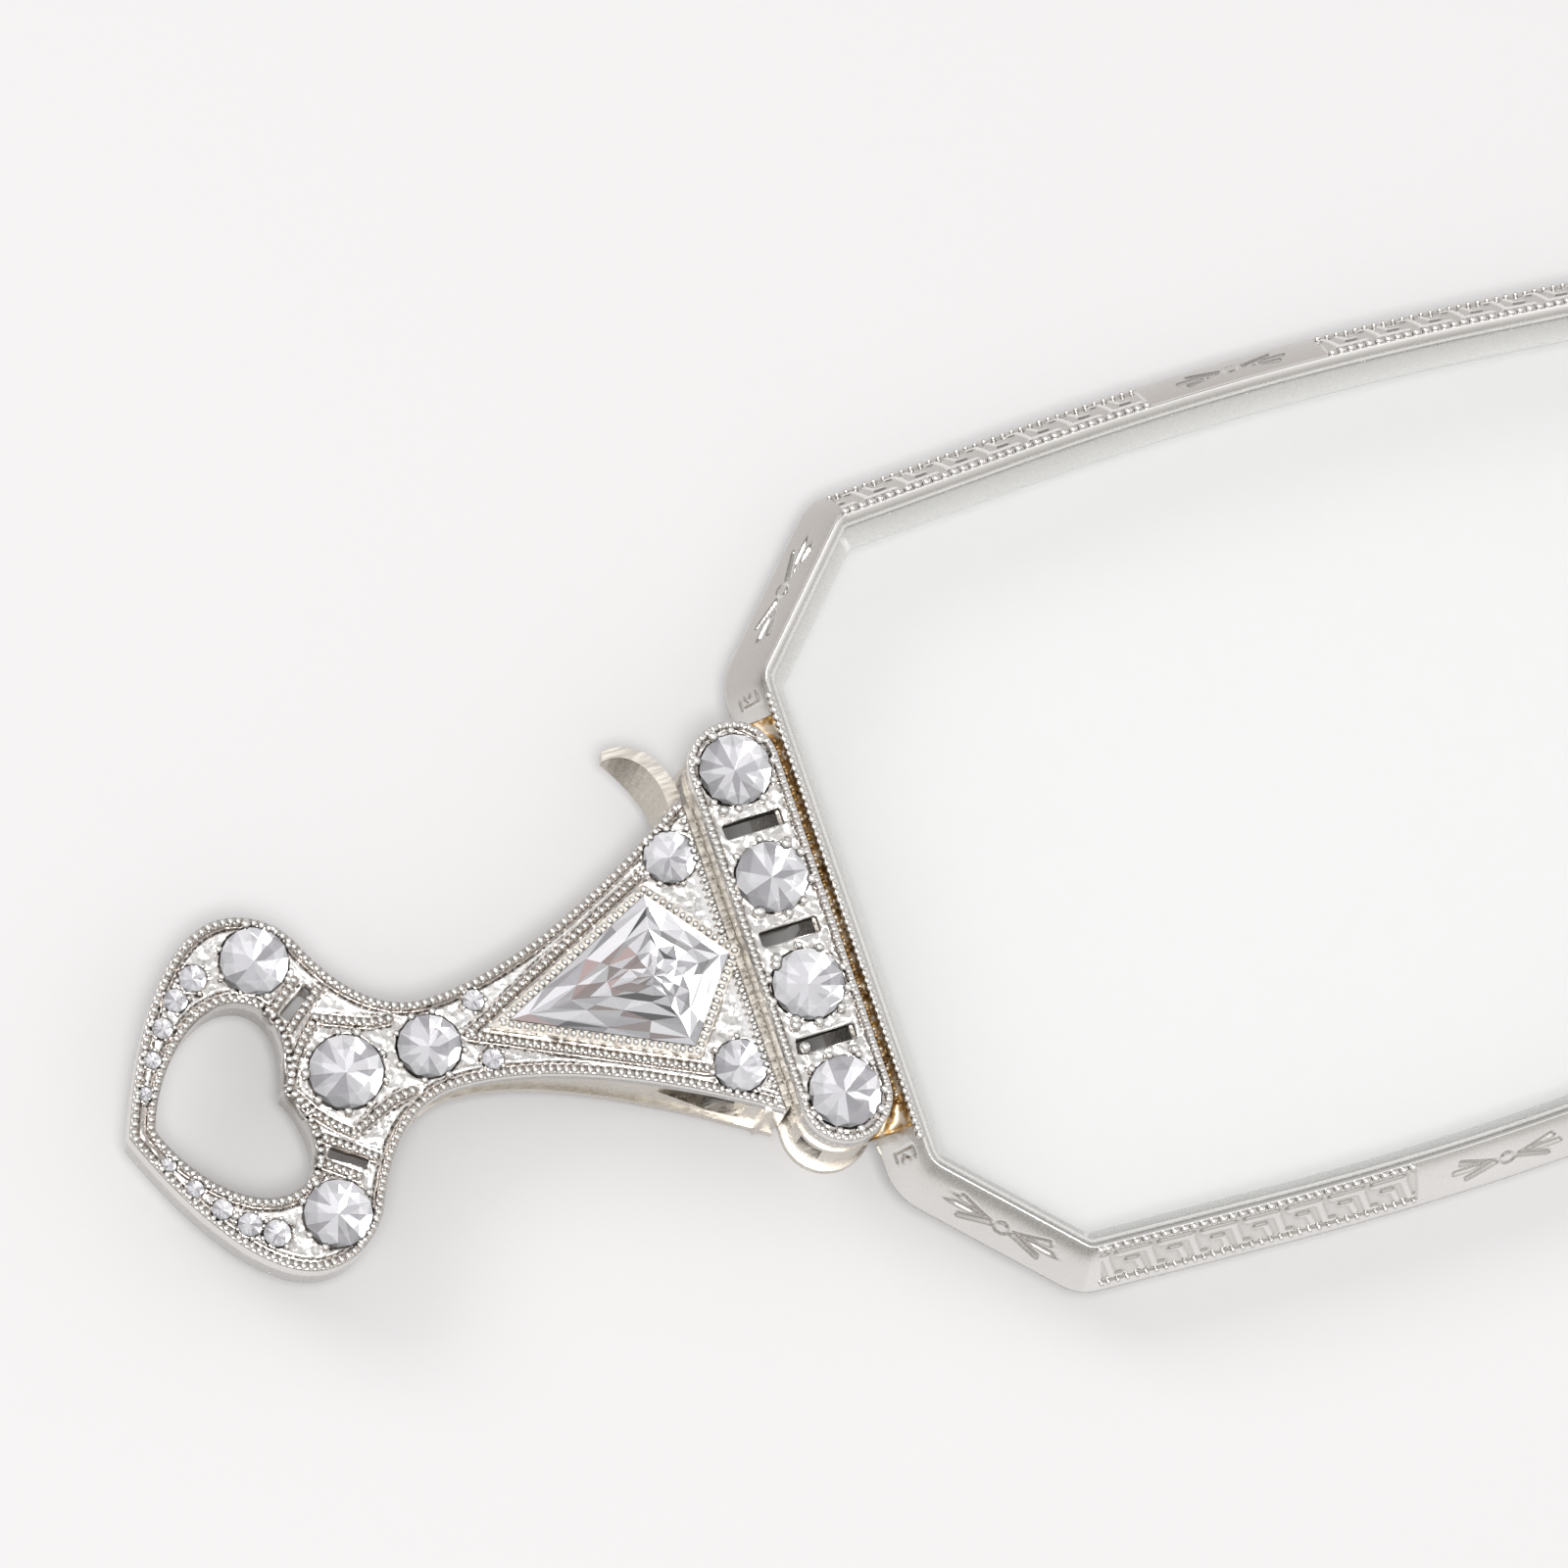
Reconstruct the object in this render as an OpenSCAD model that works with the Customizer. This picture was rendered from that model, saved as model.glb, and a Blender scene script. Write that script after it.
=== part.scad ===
// Folding lorgnette: two octagonal lens frames on a hinged bridge, carried by a
// short handle that flares from a heart-shaped loop to a raised cross bar.
// Lies on its back, front up: +X runs from the handle to the lenses, +Z is the front.

/* [Handle] */
// Length from the heart's tip to the centre line of the cross bar
handle_len = 21.2; // [19:0.1:26]
// Half width of the heart across its lobes
heart_half_w = 5.65; // [5:0.05:7]
// Distance from the heart's tip to the widest point of its lobes
heart_lobe_x = 4.65; // [4:0.05:5.4]
// Thickness of the solid heart
heart_t = 1.95; // [1.2:0.05:2.4]
// Width of the heart band at its tip
heart_band_tip = 0.85; // [0.6:0.05:1.2]
// Width of the heart band at its lobes
heart_band_lobe = 2.57; // [2.4:0.05:2.9]
// Half width of the handle at its narrowest point
neck_half_w = 1.46; // [1.4:0.02:1.8]
// Distance from the heart's tip to the narrowest point
neck_x = 10; // [9.8:0.1:11]
// Half width of the flared end at the cross bar
mouth_half_w = 5.15; // [4.9:0.05:6]
// Thickness of the handle's top plate
panel_t = 0.7; // [0.5:0.05:0.8]
// Thickness of the handle's side wall
wall_t = 0.4; // [0.3:0.05:0.5]
// Depth of the handle where it meets the cross bar
mouth_depth = 4.1; // [3.9:0.05:4.25]
// Height of the foot rail round the bottom edge of handle and bar
rail_h = 0.45; // [0.3:0.05:0.6]
// How far the foot rail stands out from the wall
rail_out = 0.12; // [0.08:0.02:0.2]
// Thickness of the plate that closes the handle from behind
back_t = 0.4; // [0.3:0.05:0.45]
// Width of the raised milgrain line along each edge
border_w = 0.22; // [0.15:0.01:0.28]
// Height of the raised milgrain line
border_h = 0.1; // [0.06:0.01:0.14]

/* [Cross bar] */
// Width of the bar
bar_w = 2.84; // [2.7:0.02:3.2]
// Length of the bar over its round ends
bar_len = 13.6; // [13.2:0.1:15]
// Height of the bar's face above the handle's face
bar_rise = 0.85; // [0.6:0.05:1.1]
// Full depth of the bar
bar_depth = 5.2; // [5.1:0.05:5.6]
// Thickness of the bar's top plate
bar_plate_t = 0.8; // [0.6:0.05:0.9]
// Length of the three pierced slots in the bar
slot_len = 1.9; // [1.4:0.1:2]
// Width of the three pierced slots
slot_w = 0.5; // [0.35:0.05:0.6]

/* [Stones] */
// Radius of the four stones in the bar
bar_stone_r = 1.12; // [1:0.02:1.16]
// Spacing of the stones along the bar
bar_stone_pitch = 3.5; // [3.3:0.05:3.6]
// Radius of the stones in the lobes of the heart
heart_stone_r = 1.05; // [0.9:0.02:1.12]
// Radius of the larger stone on the stem
stem_stone_r1 = 1.15; // [1:0.02:1.16]
// Radius of the smaller stone on the stem
stem_stone_r2 = 0.98; // [0.85:0.02:1]
// Radius of the two stones beside the kite
shoulder_stone_r = 0.82; // [0.7:0.02:0.86]
// Length of the kite-shaped collet along the handle
kite_len = 8.15; // [7.4:0.05:8.2]
// Half width of the kite-shaped collet
kite_half_w = 2.83; // [2.6:0.02:2.9]
// Distance from the kite's blunt end to its widest line
kite_wide_x = 2.2; // [2:0.05:2.5]
// Wall of the kite's collet
kite_wall = 0.28; // [0.2:0.02:0.32]
// Height of the kite's collet above the handle's face
kite_rise = 0.25; // [0.15:0.05:0.4]
// Clearance between a stone and its seat
stone_gap = 0.02; // [0.01:0.01:0.04]
// Number of small graduated stones on each side of the heart
melee_count = 5; // [3:1:6]
// Radius of the largest small stone on the heart
melee_r_max = 0.42; // [0.34:0.02:0.46]
// Radius of the smallest small stone on the heart
melee_r_min = 0.22; // [0.16:0.02:0.26]

/* [Lens frames] */
// Length of a lens frame along the handle's axis
frame_len = 37.3; // [34:0.5:42]
// Half height of a lens frame at the crown of its long rails
frame_half_h = 13.55; // [12.65:0.1:14.95]
// Half height at the corners next to the handle
corner_half_h = 13.05; // [12:0.1:13.4]
// Half height at the corners next to the nose
nose_corner_half_h = 12.6; // [11.8:0.1:13]
// Half length of the short upright next to the handle
side_half_h = 8.4; // [8:0.1:9]
// Half length of the short upright next to the nose
nose_side_half_h = 7.8; // [7.4:0.1:8.4]
// How far the slanted corners run along the frame
corner_run = 4.45; // [4:0.1:5.2]
// Depth of a rim from its crest to its flat back
rim_depth = 2; // [1.8:0.05:2.1]
// Width of the sloped, engraved outer face, seen from the front
face_w = 1.06; // [0.9:0.02:1.2]
// Width of the narrow bevel inside the crest
bevel_w = 0.3; // [0.2:0.02:0.4]
// Width of the lip behind the lens
lip_w = 0.45; // [0.3:0.05:0.6]
// Thickness of a lens
lens_t = 0.9; // [0.7:0.05:1]
// Height of the handle's face over a rim's crest
crest_drop = -0.1; // [-0.15:0.05:0]
// Depth of the groove that holds a lens
groove_d = 0.16; // [0.1:0.02:0.2]
// Clearance between a lens and its groove
lens_gap = 0.02; // [0.01:0.01:0.04]
// Clearance between the folded second frame and the cross bar
fold_gap = 0.16; // [0.1:0.02:0.2]

/* [Bridge] */
// Gap between the two lens frames at the nose
nose_gap = 16; // [14:0.5:22]
// Height of the bridge's arch over its feet
arch_rise = 3.6; // [3:0.1:4.5]
// Height of the arch's crown above the axis of the handle
arch_y = 7.2; // [7:0.1:7.6]
// Width of the bridge's strap
strap_w = 1.8; // [1.4:0.1:2.2]
// Thickness of the bridge's strap
strap_t = 1.4; // [1.1:0.05:1.5]
// Distance between the backs of the two frames when folded
stack_gap = 0.2; // [0.16:0.02:0.3]
// Radius of the hinge knuckles
knuckle_r = 1.15; // [1:0.05:1.3]
// Length of the whole hinge barrel
barrel_len = 5; // [4.4:0.1:6]
// Length of the middle knuckle
middle_len = 2.2; // [1.8:0.1:2.6]
// Radius of the hinge pin
hinge_pin_r = 0.4; // [0.3:0.02:0.45]
// Running clearance of the hinge
hinge_gap = 0.05; // [0.03:0.01:0.08]

/* [Closing joints] */
// Height above the handle's axis of the lugs that close each rim
lug_y = 6.75; // [6.6:0.05:7]
// Length of the two lugs along the rim
lug_len = 2.1; // [1.8:0.1:2.3]
// How far the lugs stand out from the rim
lug_w = 1.5; // [1.3:0.1:1.8]
// Height of the lugs over the rim's back
lug_h = 1.5; // [1.3:0.1:1.7]
// Radius of the closing screws
lug_screw_r = 0.32; // [0.25:0.01:0.36]
// Saw cut between the two lugs
lug_split = 0.12; // [0.08:0.02:0.2]

/* [Catch] */
// Radius of the lever's hub
hub_r = 0.95; // [0.8:0.05:1.1]
// Radius of the lever's pivot screw
pivot_r = 0.35; // [0.25:0.02:0.4]
// Running clearance on the pivot screw
pivot_gap = 0.04; // [0.03:0.01:0.06]
// Thickness of the curled thumb piece, across its ribbon
ribbon_t = 0.45; // [0.35:0.05:0.5]
// Width of the thumb piece's ribbon, front to back
ribbon_w = 1.5; // [1.2:0.05:1.6]
// Distance that the thumb piece's tip stands out beyond the flared end
thumb_out = 1.9; // [1.4:0.1:2.2]
// Thickness of the hook that holds the second frame
hook_t = 0.34; // [0.26:0.02:0.36]
// Radius of the catch stud
stud_r = 0.25; // [0.2:0.01:0.28]
// Length of the catch stud
stud_len = 1.38; // [1.3:0.02:1.5]

/* [Hidden] */
$fn = 48;

platinum = "Gainsboro";
old_platinum = "Silver";
diamond = "AliceBlue";
steel = "SlateGray";
lens_glass = "LightCyan";
far_cut = 60;

// Main levels, measured from the handle's face
crest_z = -crest_drop;
back_z = crest_z - rim_depth;
hinge_z = back_z - stack_gap / 2;
foot_z = bar_rise - bar_depth;

// Main places along X, measured from the centre line of the cross bar
tip_x = -handle_len;
neck_at = tip_x + neck_x;
split_x = tip_x + heart_lobe_x + 3.72;
bar_edge = bar_w / 2;
mouth_x = -bar_edge - 0.3;
face_start = bar_edge - 0.52;
frame_end = face_start + frame_len;
hinge_x = frame_end + nose_gap / 2;
stud_foot_x = bar_edge + fold_gap;
far_end = 2 * hinge_x - min(face_start, stud_foot_x - stud_len);
centre_x = (tip_x + far_end) / 2;

// ---- curves and outlines ----

// Points of a cubic curve from a to d, without its last point
function curve(a, b, c, d, n = 8) = [for (i = [0:n - 1]) let (t = i / n, s = 1 - t)
    s * s * s * a + 3 * s * s * t * b + 3 * s * t * t * c + t * t * t * d];

// The same points mirrored in the X axis and in reverse order
function mirrored(p) = [for (i = [len(p) - 1:-1:0]) [p[i][0], -p[i][1]]];

// Inward unit normal of the edge from a to b on an anticlockwise outline
function edge_normal(a, b) = let (e = b - a) [-e[1], e[0]] / norm(e);

// Outline p moved inwards by d, corners mitred
function inset(p, d) = let (n = len(p)) [for (i = [0:n - 1])
    let (m = edge_normal(p[(i + n - 1) % n], p[i]), k = edge_normal(p[i], p[(i + 1) % n]))
    p[i] + d * (m + k) / (1 + m * k)];

// Corner b between a and c rounded to radius r by n + 1 points
function round_corner(a, b, c, r, n) =
    let (u = (a - b) / norm(a - b), v = (c - b) / norm(c - b),
        half = acos(u * v) / 2, back = r / tan(half),
        m = b + (u + v) / norm(u + v) * r / sin(half),
        p = b + u * back, q = b + v * back,
        a0 = atan2(p[1] - m[1], p[0] - m[0]), a1 = atan2(q[1] - m[1], q[0] - m[0]),
        turn = (a1 - a0 + 540) % 360 - 180)
    [for (i = [0:n]) m + r * [cos(a0 + turn * i / n), sin(a0 + turn * i / n)]];

// Upper edge of the handle from the flared mouth to the heart's tip. The curves' handles are
// shares of the lengths that they join, so that the shape follows the sizes.
heart_w_pt = [tip_x + heart_lobe_x, heart_half_w];
heart_side_pt = [heart_w_pt[0] + 0.462 * heart_lobe_x, 0.743 * heart_half_w];
neck_pt = [neck_at, neck_half_w];
mouth_pt = [mouth_x, mouth_half_w];
flare = mouth_pt - neck_pt;
rise = [neck_pt[0] - heart_side_pt[0], heart_side_pt[1] - neck_pt[1]];
lobe = [heart_side_pt[0] - heart_w_pt[0], heart_w_pt[1] - heart_side_pt[1]];
function lobe_to_tip(n) = curve(heart_w_pt, heart_w_pt - [0.41 * heart_lobe_x, 0],
    [tip_x + 0.224 * heart_lobe_x, 0.483 * heart_half_w], [tip_x, 0], n);
upper_edge = concat(
    curve(mouth_pt, mouth_pt - [0.3 * flare[0], 0.507 * flare[1]],
        neck_pt + [0.316 * flare[0], 0], neck_pt, 16),
    curve(neck_pt, neck_pt - [0.437 * rise[0], 0],
        heart_side_pt + [0.212 * rise[0], -0.57 * rise[1]], heart_side_pt, 12),
    curve(heart_side_pt, heart_side_pt + [-0.149 * lobe[0], 0.51 * lobe[1]],
        heart_w_pt + [0.465 * lobe[0], 0], heart_w_pt, 9),
    lobe_to_tip(16));
handle_outline = concat(upper_edge, [[tip_x, 0]],
    [for (i = [len(upper_edge) - 1:-1:0]) [upper_edge[i][0], -upper_edge[i][1]]]);

// Opening of the heart
hole_tip = [tip_x + heart_band_tip, 0];
hole_top = [tip_x + 0.86 * heart_lobe_x, heart_half_w - heart_band_lobe];
hole_side = [tip_x + 1.15 * heart_lobe_x, 0.52 * hole_top[1]];
hole_cusp = [hole_side[0] - 0.086 * heart_lobe_x, 0];
function hole_to_tip(n) = let (run = hole_top[0] - hole_tip[0])
    curve(hole_top, hole_top - [0.413 * run, 0], hole_tip + [0.143 * run, 0.47 * hole_top[1]],
        hole_tip, n);
hole_upper = concat(
    curve(hole_cusp, hole_cusp + [0.5 * (hole_side[0] - hole_cusp[0]), 0.22 * hole_side[1]],
        hole_side - [0, 0.44 * hole_side[1]], hole_side, 6),
    curve(hole_side, hole_side + [0, 0.61 * (hole_top[1] - hole_side[1])],
        hole_top + [0.6 * (hole_side[0] - hole_top[0]), 0], hole_top, 9),
    hole_to_tip(12));
heart_hole = concat(hole_upper, [hole_tip],
    [for (i = [len(hole_upper) - 1:-1:1]) [hole_upper[i][0], -hole_upper[i][1]]]);

// Underside of the handle as a curve in the XZ plane: shallow at the heart, deep at the bar
sole_curve = concat(
    [[tip_x - 1, -heart_t], [split_x, -heart_t]],
    curve([split_x, -heart_t], [split_x + 4, -heart_t], [mouth_x - 5.2, -mouth_depth],
        [mouth_x, -mouth_depth], 14),
    [[mouth_x, -mouth_depth], [mouth_x + 1, -mouth_depth]]);

// Outline of a lens frame, temple side at x = face_start, with every corner rounded. The long
// rails are arcs that end crown_run from the crown; crown_turn is how far they bend there.
crown_run = (frame_len / 2 - corner_run) * 0.554;
function crown_turn(h) = max(1, abs(atan((h - corner_half_h) / (frame_len / 2 - corner_run))
    + atan((h - nose_corner_half_h) / (frame_len / 2 - corner_run - 0.7))));
crown_cut = crown_run * tan(crown_turn(frame_half_h + 0.2) / 4);
crown_r = crown_run / tan(crown_turn(frame_half_h + crown_cut) / 2);
function frame_corners() = [
    [face_start, -side_half_h], [face_start + corner_run, -corner_half_h],
    [face_start + frame_len / 2, -frame_half_h - crown_cut],
    [frame_end - corner_run - 0.7, -nose_corner_half_h], [frame_end, -nose_side_half_h],
    [frame_end, nose_side_half_h], [frame_end - corner_run - 0.7, nose_corner_half_h],
    [face_start + frame_len / 2, frame_half_h + crown_cut],
    [face_start + corner_run, corner_half_h], [face_start, side_half_h]];
corner_r = [2, 1.6, crown_r, 1.6, 2, 2, 1.6, crown_r, 1.6, 2];
corner_n = [5, 5, 8, 5, 5, 5, 5, 8, 5, 5];
frame_pts = frame_corners();
frame_outline = [for (i = [0:9]) each round_corner(frame_pts[(i + 9) % 10], frame_pts[i],
    frame_pts[(i + 1) % 10], corner_r[i], corner_n[i])];

// Cross section of a rim: inset from the outer edge against height over its flat back
lip_z = rim_depth - 1.5 - 0.1;
groove_depth = 0.6;
rim_profile = [
    [0, 0], [0.04, 0.4], [face_w * 0.5, rim_depth * 0.66], [face_w, rim_depth],
    [face_w + bevel_w, rim_depth - 0.28], [face_w + bevel_w, lip_z + lens_t],
    [face_w + bevel_w - groove_d, lip_z + lens_t], [face_w + bevel_w - groove_d, lip_z],
    [face_w + bevel_w + lip_w, lip_z], [face_w + bevel_w + lip_w, 0]];

// ---- shared shapes ----

// Everything is drawn round the bar, then moved so that the part is centred and stands on z = 0
module place() {
    translate([-centre_x, 0, -foot_z]) children();
}

// The same, for pieces of the second frame: mirrored about the bridge's centre line
module place_far() {
    place() translate([2 * hinge_x, 0, 0]) mirror([1, 0, 0]) children();
}

// Both sides of the handle's axis
module both_sides() {
    children();
    mirror([0, 1, 0]) children();
}

// A plate of the given outline between two heights
module slab(outline, z0, z1) {
    translate([0, 0, z0]) linear_extrude(z1 - z0) polygon(outline);
}

// A raised line of width w that follows an outline, d inside it
module ridge(outline, d, w, z0, z1) {
    difference() {
        slab(inset(outline, d), z0, z1);
        slab(inset(outline, d + w), z0 - 1, z1 + 1);
    }
}

// A round brilliant of radius r, girdle at z = 0: eight-sided crown, cone below
module stone(r) {
    translate([0, 0, -r * 0.06]) cylinder(h = r * 0.06, r = r);
    cylinder(h = r * 0.3, r1 = r * 0.99, r2 = r * 0.58, $fn = 8);
    translate([0, 0, -r * 0.8]) cylinder(h = r * 0.74, r1 = r * 0.06, r2 = r, $fn = 16);
}

// The seat that a stone sits in, open at the top and pierced below
module seat(r, depth) {
    translate([0, 0, -r * 0.06]) cylinder(h = 2, r = r + stone_gap);
    translate([0, 0, -r * 0.8]) cylinder(h = r * 0.741, r1 = r * 0.06 + stone_gap, r2 = r + stone_gap);
    translate([0, 0, -depth]) cylinder(h = depth, r = r * 0.5);
}

// A slot with square ends, pierced through
module through_slot(l, w) {
    translate([-l / 2, -w / 2, -3]) cube([l, w, 6]);
}

// Solid under the handle's sole, raised by lift, to cut from or to keep
module above_sole(lift, top) {
    pts = concat([for (p = sole_curve) p + [0, lift]],
        [[mouth_x + 1, top], [tip_x - 1, top]]);
    translate([0, heart_half_w * 2, 0]) rotate([90, 0, 0])
        linear_extrude(heart_half_w * 4) polygon(pts);
}

// Stadium outline of the bar, grown by g
module bar_shape(g) {
    straight = bar_len / 2 - bar_edge;
    translate([-bar_edge - g, -straight]) square([bar_w + 2 * g, 2 * straight]);
    for (s = [-1, 1]) translate([0, s * straight]) circle(bar_edge + g);
}

// ---- stone places ----
stem_x1 = neck_at - 3.05;
stem_x2 = stem_x1 + stem_stone_r1 + stem_stone_r2 + 0.55;
heart_stone_x = tip_x + heart_lobe_x + 0.7;
heart_stone_y = hole_top[1] + heart_band_lobe / 2 - 0.28;
heart_slot_x = tip_x + heart_lobe_x + 1.55;
heart_slot_y = neck_half_w + 1.05;
kite_end = mouth_x + 0.18;
kite_tip = kite_end - kite_len;
kite_groove = 0.16;
kite_ledge = 0.45;
shoulder_x = mouth_x - 0.93;
shoulder_y = mouth_half_w - 1.75;
kite_outline = [[kite_end, 0], [kite_end - kite_wide_x, kite_half_w], [kite_tip, 0],
    [kite_end - kite_wide_x, -kite_half_w]];

// Middle line of the heart band: from beside the lobe stone towards the tip
function band_point(t) = (lobe_to_tip(1000)[floor(t * 999)] + hole_to_tip(1000)[floor(t * 999)]) / 2;
function melee_r(i) = melee_r_max + (melee_r_min - melee_r_max) * i / (melee_count - 1);
function melee_t(i) = 0.2 + 0.62 * i / (melee_count - 1);
stem_melee_x = kite_tip - 0.15;
stem_melee_y = 0.95;
stem_melee_r = 0.33;

// ---- handle ----

module heart_loop() {
    color(platinum) place() difference() {
        union() {
            slab(handle_outline, -heart_t, -border_h);
            ridge(handle_outline, 0, border_w, -border_h, 0);
            intersection() {
                slab(inset(heart_hole, -border_w), -border_h, 0);
                slab(handle_outline, -heart_t, 0);
            }
        }
        slab(heart_hole, -heart_t - 1, 1);
        translate([split_x, -far_cut / 2, -far_cut / 2]) cube(far_cut);
        both_sides() {
            translate([heart_slot_x, heart_slot_y, 0]) rotate([0, 0, 33])
                through_slot(1.25, 0.38);
            translate([heart_stone_x, heart_stone_y, 0]) seat(heart_stone_r, heart_t + 1);
            translate([stem_x1, 0, 0]) seat(stem_stone_r1, heart_t + 1);
            for (i = [0:melee_count - 1])
                translate([band_point(melee_t(i))[0], band_point(melee_t(i))[1], 0])
                    seat(melee_r(i), heart_t + 1);
        }
    }
}

module heart_diamonds() {
    color(diamond) place() both_sides()
        translate([heart_stone_x, heart_stone_y, 0]) stone(heart_stone_r);
}

module heart_melee() {
    color(diamond) place() both_sides() for (i = [0:melee_count - 1])
        translate([band_point(melee_t(i))[0], band_point(melee_t(i))[1], 0]) stone(melee_r(i));
}

// Outline of the stem and flare only, right of the heart
module panel_area(d, z0, z1) {
    intersection() {
        slab(inset(handle_outline, d), z0, z1);
        translate([split_x, -far_cut / 2, z0]) cube([far_cut, far_cut, z1 - z0]);
    }
}

module handle_panel() {
    color(platinum) place() difference() {
        union() {
            panel_area(0, -panel_t, -border_h);
            difference() {
                panel_area(0, -border_h, 0);
                panel_area(border_w, -border_h - 1, 1);
            }
            intersection() {
                ridge(inset(kite_outline, -kite_groove - border_w), 0, border_w, -border_h, 0);
                translate([kite_end - kite_wide_x - far_cut, -far_cut / 2, -1])
                    cube([far_cut, far_cut, 2]);
            }
        }
        slab(inset(kite_outline, -kite_groove), -panel_t - 1, 1);
        translate([stem_x2, 0, 0]) seat(stem_stone_r2, panel_t + 1);
        both_sides() {
            translate([shoulder_x, shoulder_y, 0]) seat(shoulder_stone_r, panel_t + 1);
            translate([stem_melee_x, stem_melee_y, 0]) seat(stem_melee_r, panel_t + 1);
        }
    }
}

// Inner edge of the foot rail, where the back plate lies
shelf_w = rail_out + wall_t + 0.1;

// Side walls with a rounded-looking foot rail, pierced near the bar and slotted for the lever
module handle_gallery() {
    window_x = mouth_x - 3.4;
    saddle_y = mouth_half_w - rail_out - 0.1;
    color(old_platinum) place() difference() {
        intersection() {
            union() {
                translate([mouth_x - wall_t - rail_out, -saddle_y, -mouth_depth])
                    cube([-bar_edge - mouth_x + wall_t + rail_out, 2 * saddle_y,
                        mouth_depth - panel_t]);
                difference() {
                    panel_area(rail_out, -mouth_depth, -panel_t);
                    panel_area(rail_out + wall_t, -mouth_depth - 1, 1);
                }
                difference() {
                    intersection() {
                        panel_area(0, -mouth_depth, -panel_t);
                        above_sole(0, -panel_t);
                    }
                    above_sole(rail_h, 1);
                    panel_area(shelf_w, -mouth_depth - 1, 1);
                }
            }
            above_sole(0, 0);
        }
        // pierced opening in each side wall: pointed towards the stem, upright near the bar
        for (s = [-1, 1]) translate([window_x, s * heart_half_w, 0]) rotate([90, 0, 0])
            linear_extrude(heart_half_w * 0.9, center = true)
                polygon([[-0.5, -panel_t - 0.7], [2.5, -panel_t - 0.45],
                    [2.5, -mouth_depth + 0.85], [1.6, -mouth_depth + 0.9]]);
        // way out for the lever's ribbon
        translate([mouth_x - 1.7, 2.85, lever_z1 - 0.1]) cube([3, 5, ribbon_w + 0.2]);
        // way through for the hook, in the end wall next to the bar
        translate([mouth_x - 1, hook_y0, hook_z0 - 0.1])
            cube([2, hook_y1 - hook_y0, hook_t + 0.2]);
    }
}

// Plate that follows the sole, opened under each stone
module back_plate() {
    color(platinum) place() difference() {
        intersection() {
            panel_area(shelf_w, -mouth_depth, -panel_t);
            difference() {
                above_sole(0, 0);
                above_sole(back_t, 1);
            }
        }
        translate([stem_x2 + 0.3, 0, 0]) cylinder(h = 20, r = stem_stone_r2 * 0.5, center = true);
        translate([lever_p[0], lever_p[1], 0]) cylinder(h = 20, r = pivot_r, center = true);
        translate([lever_p[0], lever_p[1], lever_sole - 1])
            cylinder(h = 1.2, r = pivot_r * 2);
        both_sides() translate([shoulder_x - 0.3, shoulder_y - 0.5, 0])
            cylinder(h = 20, r = shoulder_stone_r * 0.5, center = true);
    }
}

module stem_diamonds() {
    color(diamond) place() {
        translate([stem_x1, 0, 0]) stone(stem_stone_r1);
        translate([stem_x2, 0, 0]) stone(stem_stone_r2);
    }
}

module stem_melee() {
    color(diamond) place() both_sides()
        translate([stem_melee_x, stem_melee_y, 0]) stone(stem_melee_r);
}

module kite_bezel() {
    color(platinum) place() difference() {
        slab(kite_outline, -panel_t, kite_rise);
        slab(inset(kite_outline, kite_wall), kite_rise - kite_ledge, kite_rise + 1);
        slab(inset(kite_outline, kite_wall + 0.25), -panel_t - 1, kite_rise);
    }
}

// Kite-shaped stone: crown facets up to a table, pavilion facets down to a point
module kite_diamond() {
    girdle = inset(kite_outline, kite_wall + stone_gap);
    centre = [kite_end - kite_wide_x - 0.6, 0];
    level = kite_rise - 0.2;
    // corner k of a ring shrunk to s, and the slightly bulged middle of the side after it
    function corner(k, s, z) = [each (centre + s * (girdle[k] - centre)), z];
    function middle(k, s, z) =
        [each (centre + s * 1.06 * ((girdle[k] + girdle[(k + 1) % 4]) / 2 - centre)), z];
    pts = concat([for (k = [0:3]) corner(k, 1, level)],
        [for (k = [0:3]) corner(k, 1, level - 0.09)],
        [for (k = [0:3]) each [corner(k, 0.6, level + 0.32), middle(k, 0.6, level + 0.32)]],
        [for (k = [0:3]) each [corner(k, 0.52, level - 0.59), middle(k, 0.52, level - 0.59)]],
        [[centre[0], centre[1], level - 0.94]]);
    sides = [for (k = [0:3]) let (n = (k + 1) % 4, t = 8 + 2 * k, u = 8 + (2 * k + 2) % 8)
        each [[k, t + 1, n], [k, t, t + 1], [n, t + 1, u],
            [4 + k, k, n, 4 + n],
            [4 + k, 4 + n, t + 9], [4 + k, t + 9, t + 8], [4 + n, u + 8, t + 9]]];
    point = [for (j = [0:7]) [16 + j, 16 + (j + 1) % 8, 24]];
    color(diamond) place() polyhedron(pts, concat([[for (j = [7:-1:0]) 8 + j]], sides, point));
}

module shoulder_diamonds() {
    color(diamond) place() both_sides()
        translate([shoulder_x, shoulder_y, 0]) stone(shoulder_stone_r);
}

// ---- cross bar ----

module bar_plate() {
    color(platinum) place() difference() {
        union() {
            translate([0, 0, bar_rise - bar_plate_t]) linear_extrude(bar_plate_t - border_h) bar_shape(0);
            translate([0, 0, bar_rise - border_h]) linear_extrude(border_h) difference() {
                bar_shape(0);
                bar_shape(-border_w);
            }
        }
        for (k = [-1:1]) translate([0, k * bar_stone_pitch, 0]) through_slot(slot_len, slot_w);
        for (k = [-1.5:1:1.5]) translate([0, k * bar_stone_pitch, bar_rise])
            seat(bar_stone_r, bar_plate_t + 1);
    }
}

module bar_diamonds() {
    color(diamond) place() for (k = [-1.5:1:1.5])
        translate([0, k * bar_stone_pitch, bar_rise]) stone(bar_stone_r);
}

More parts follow.
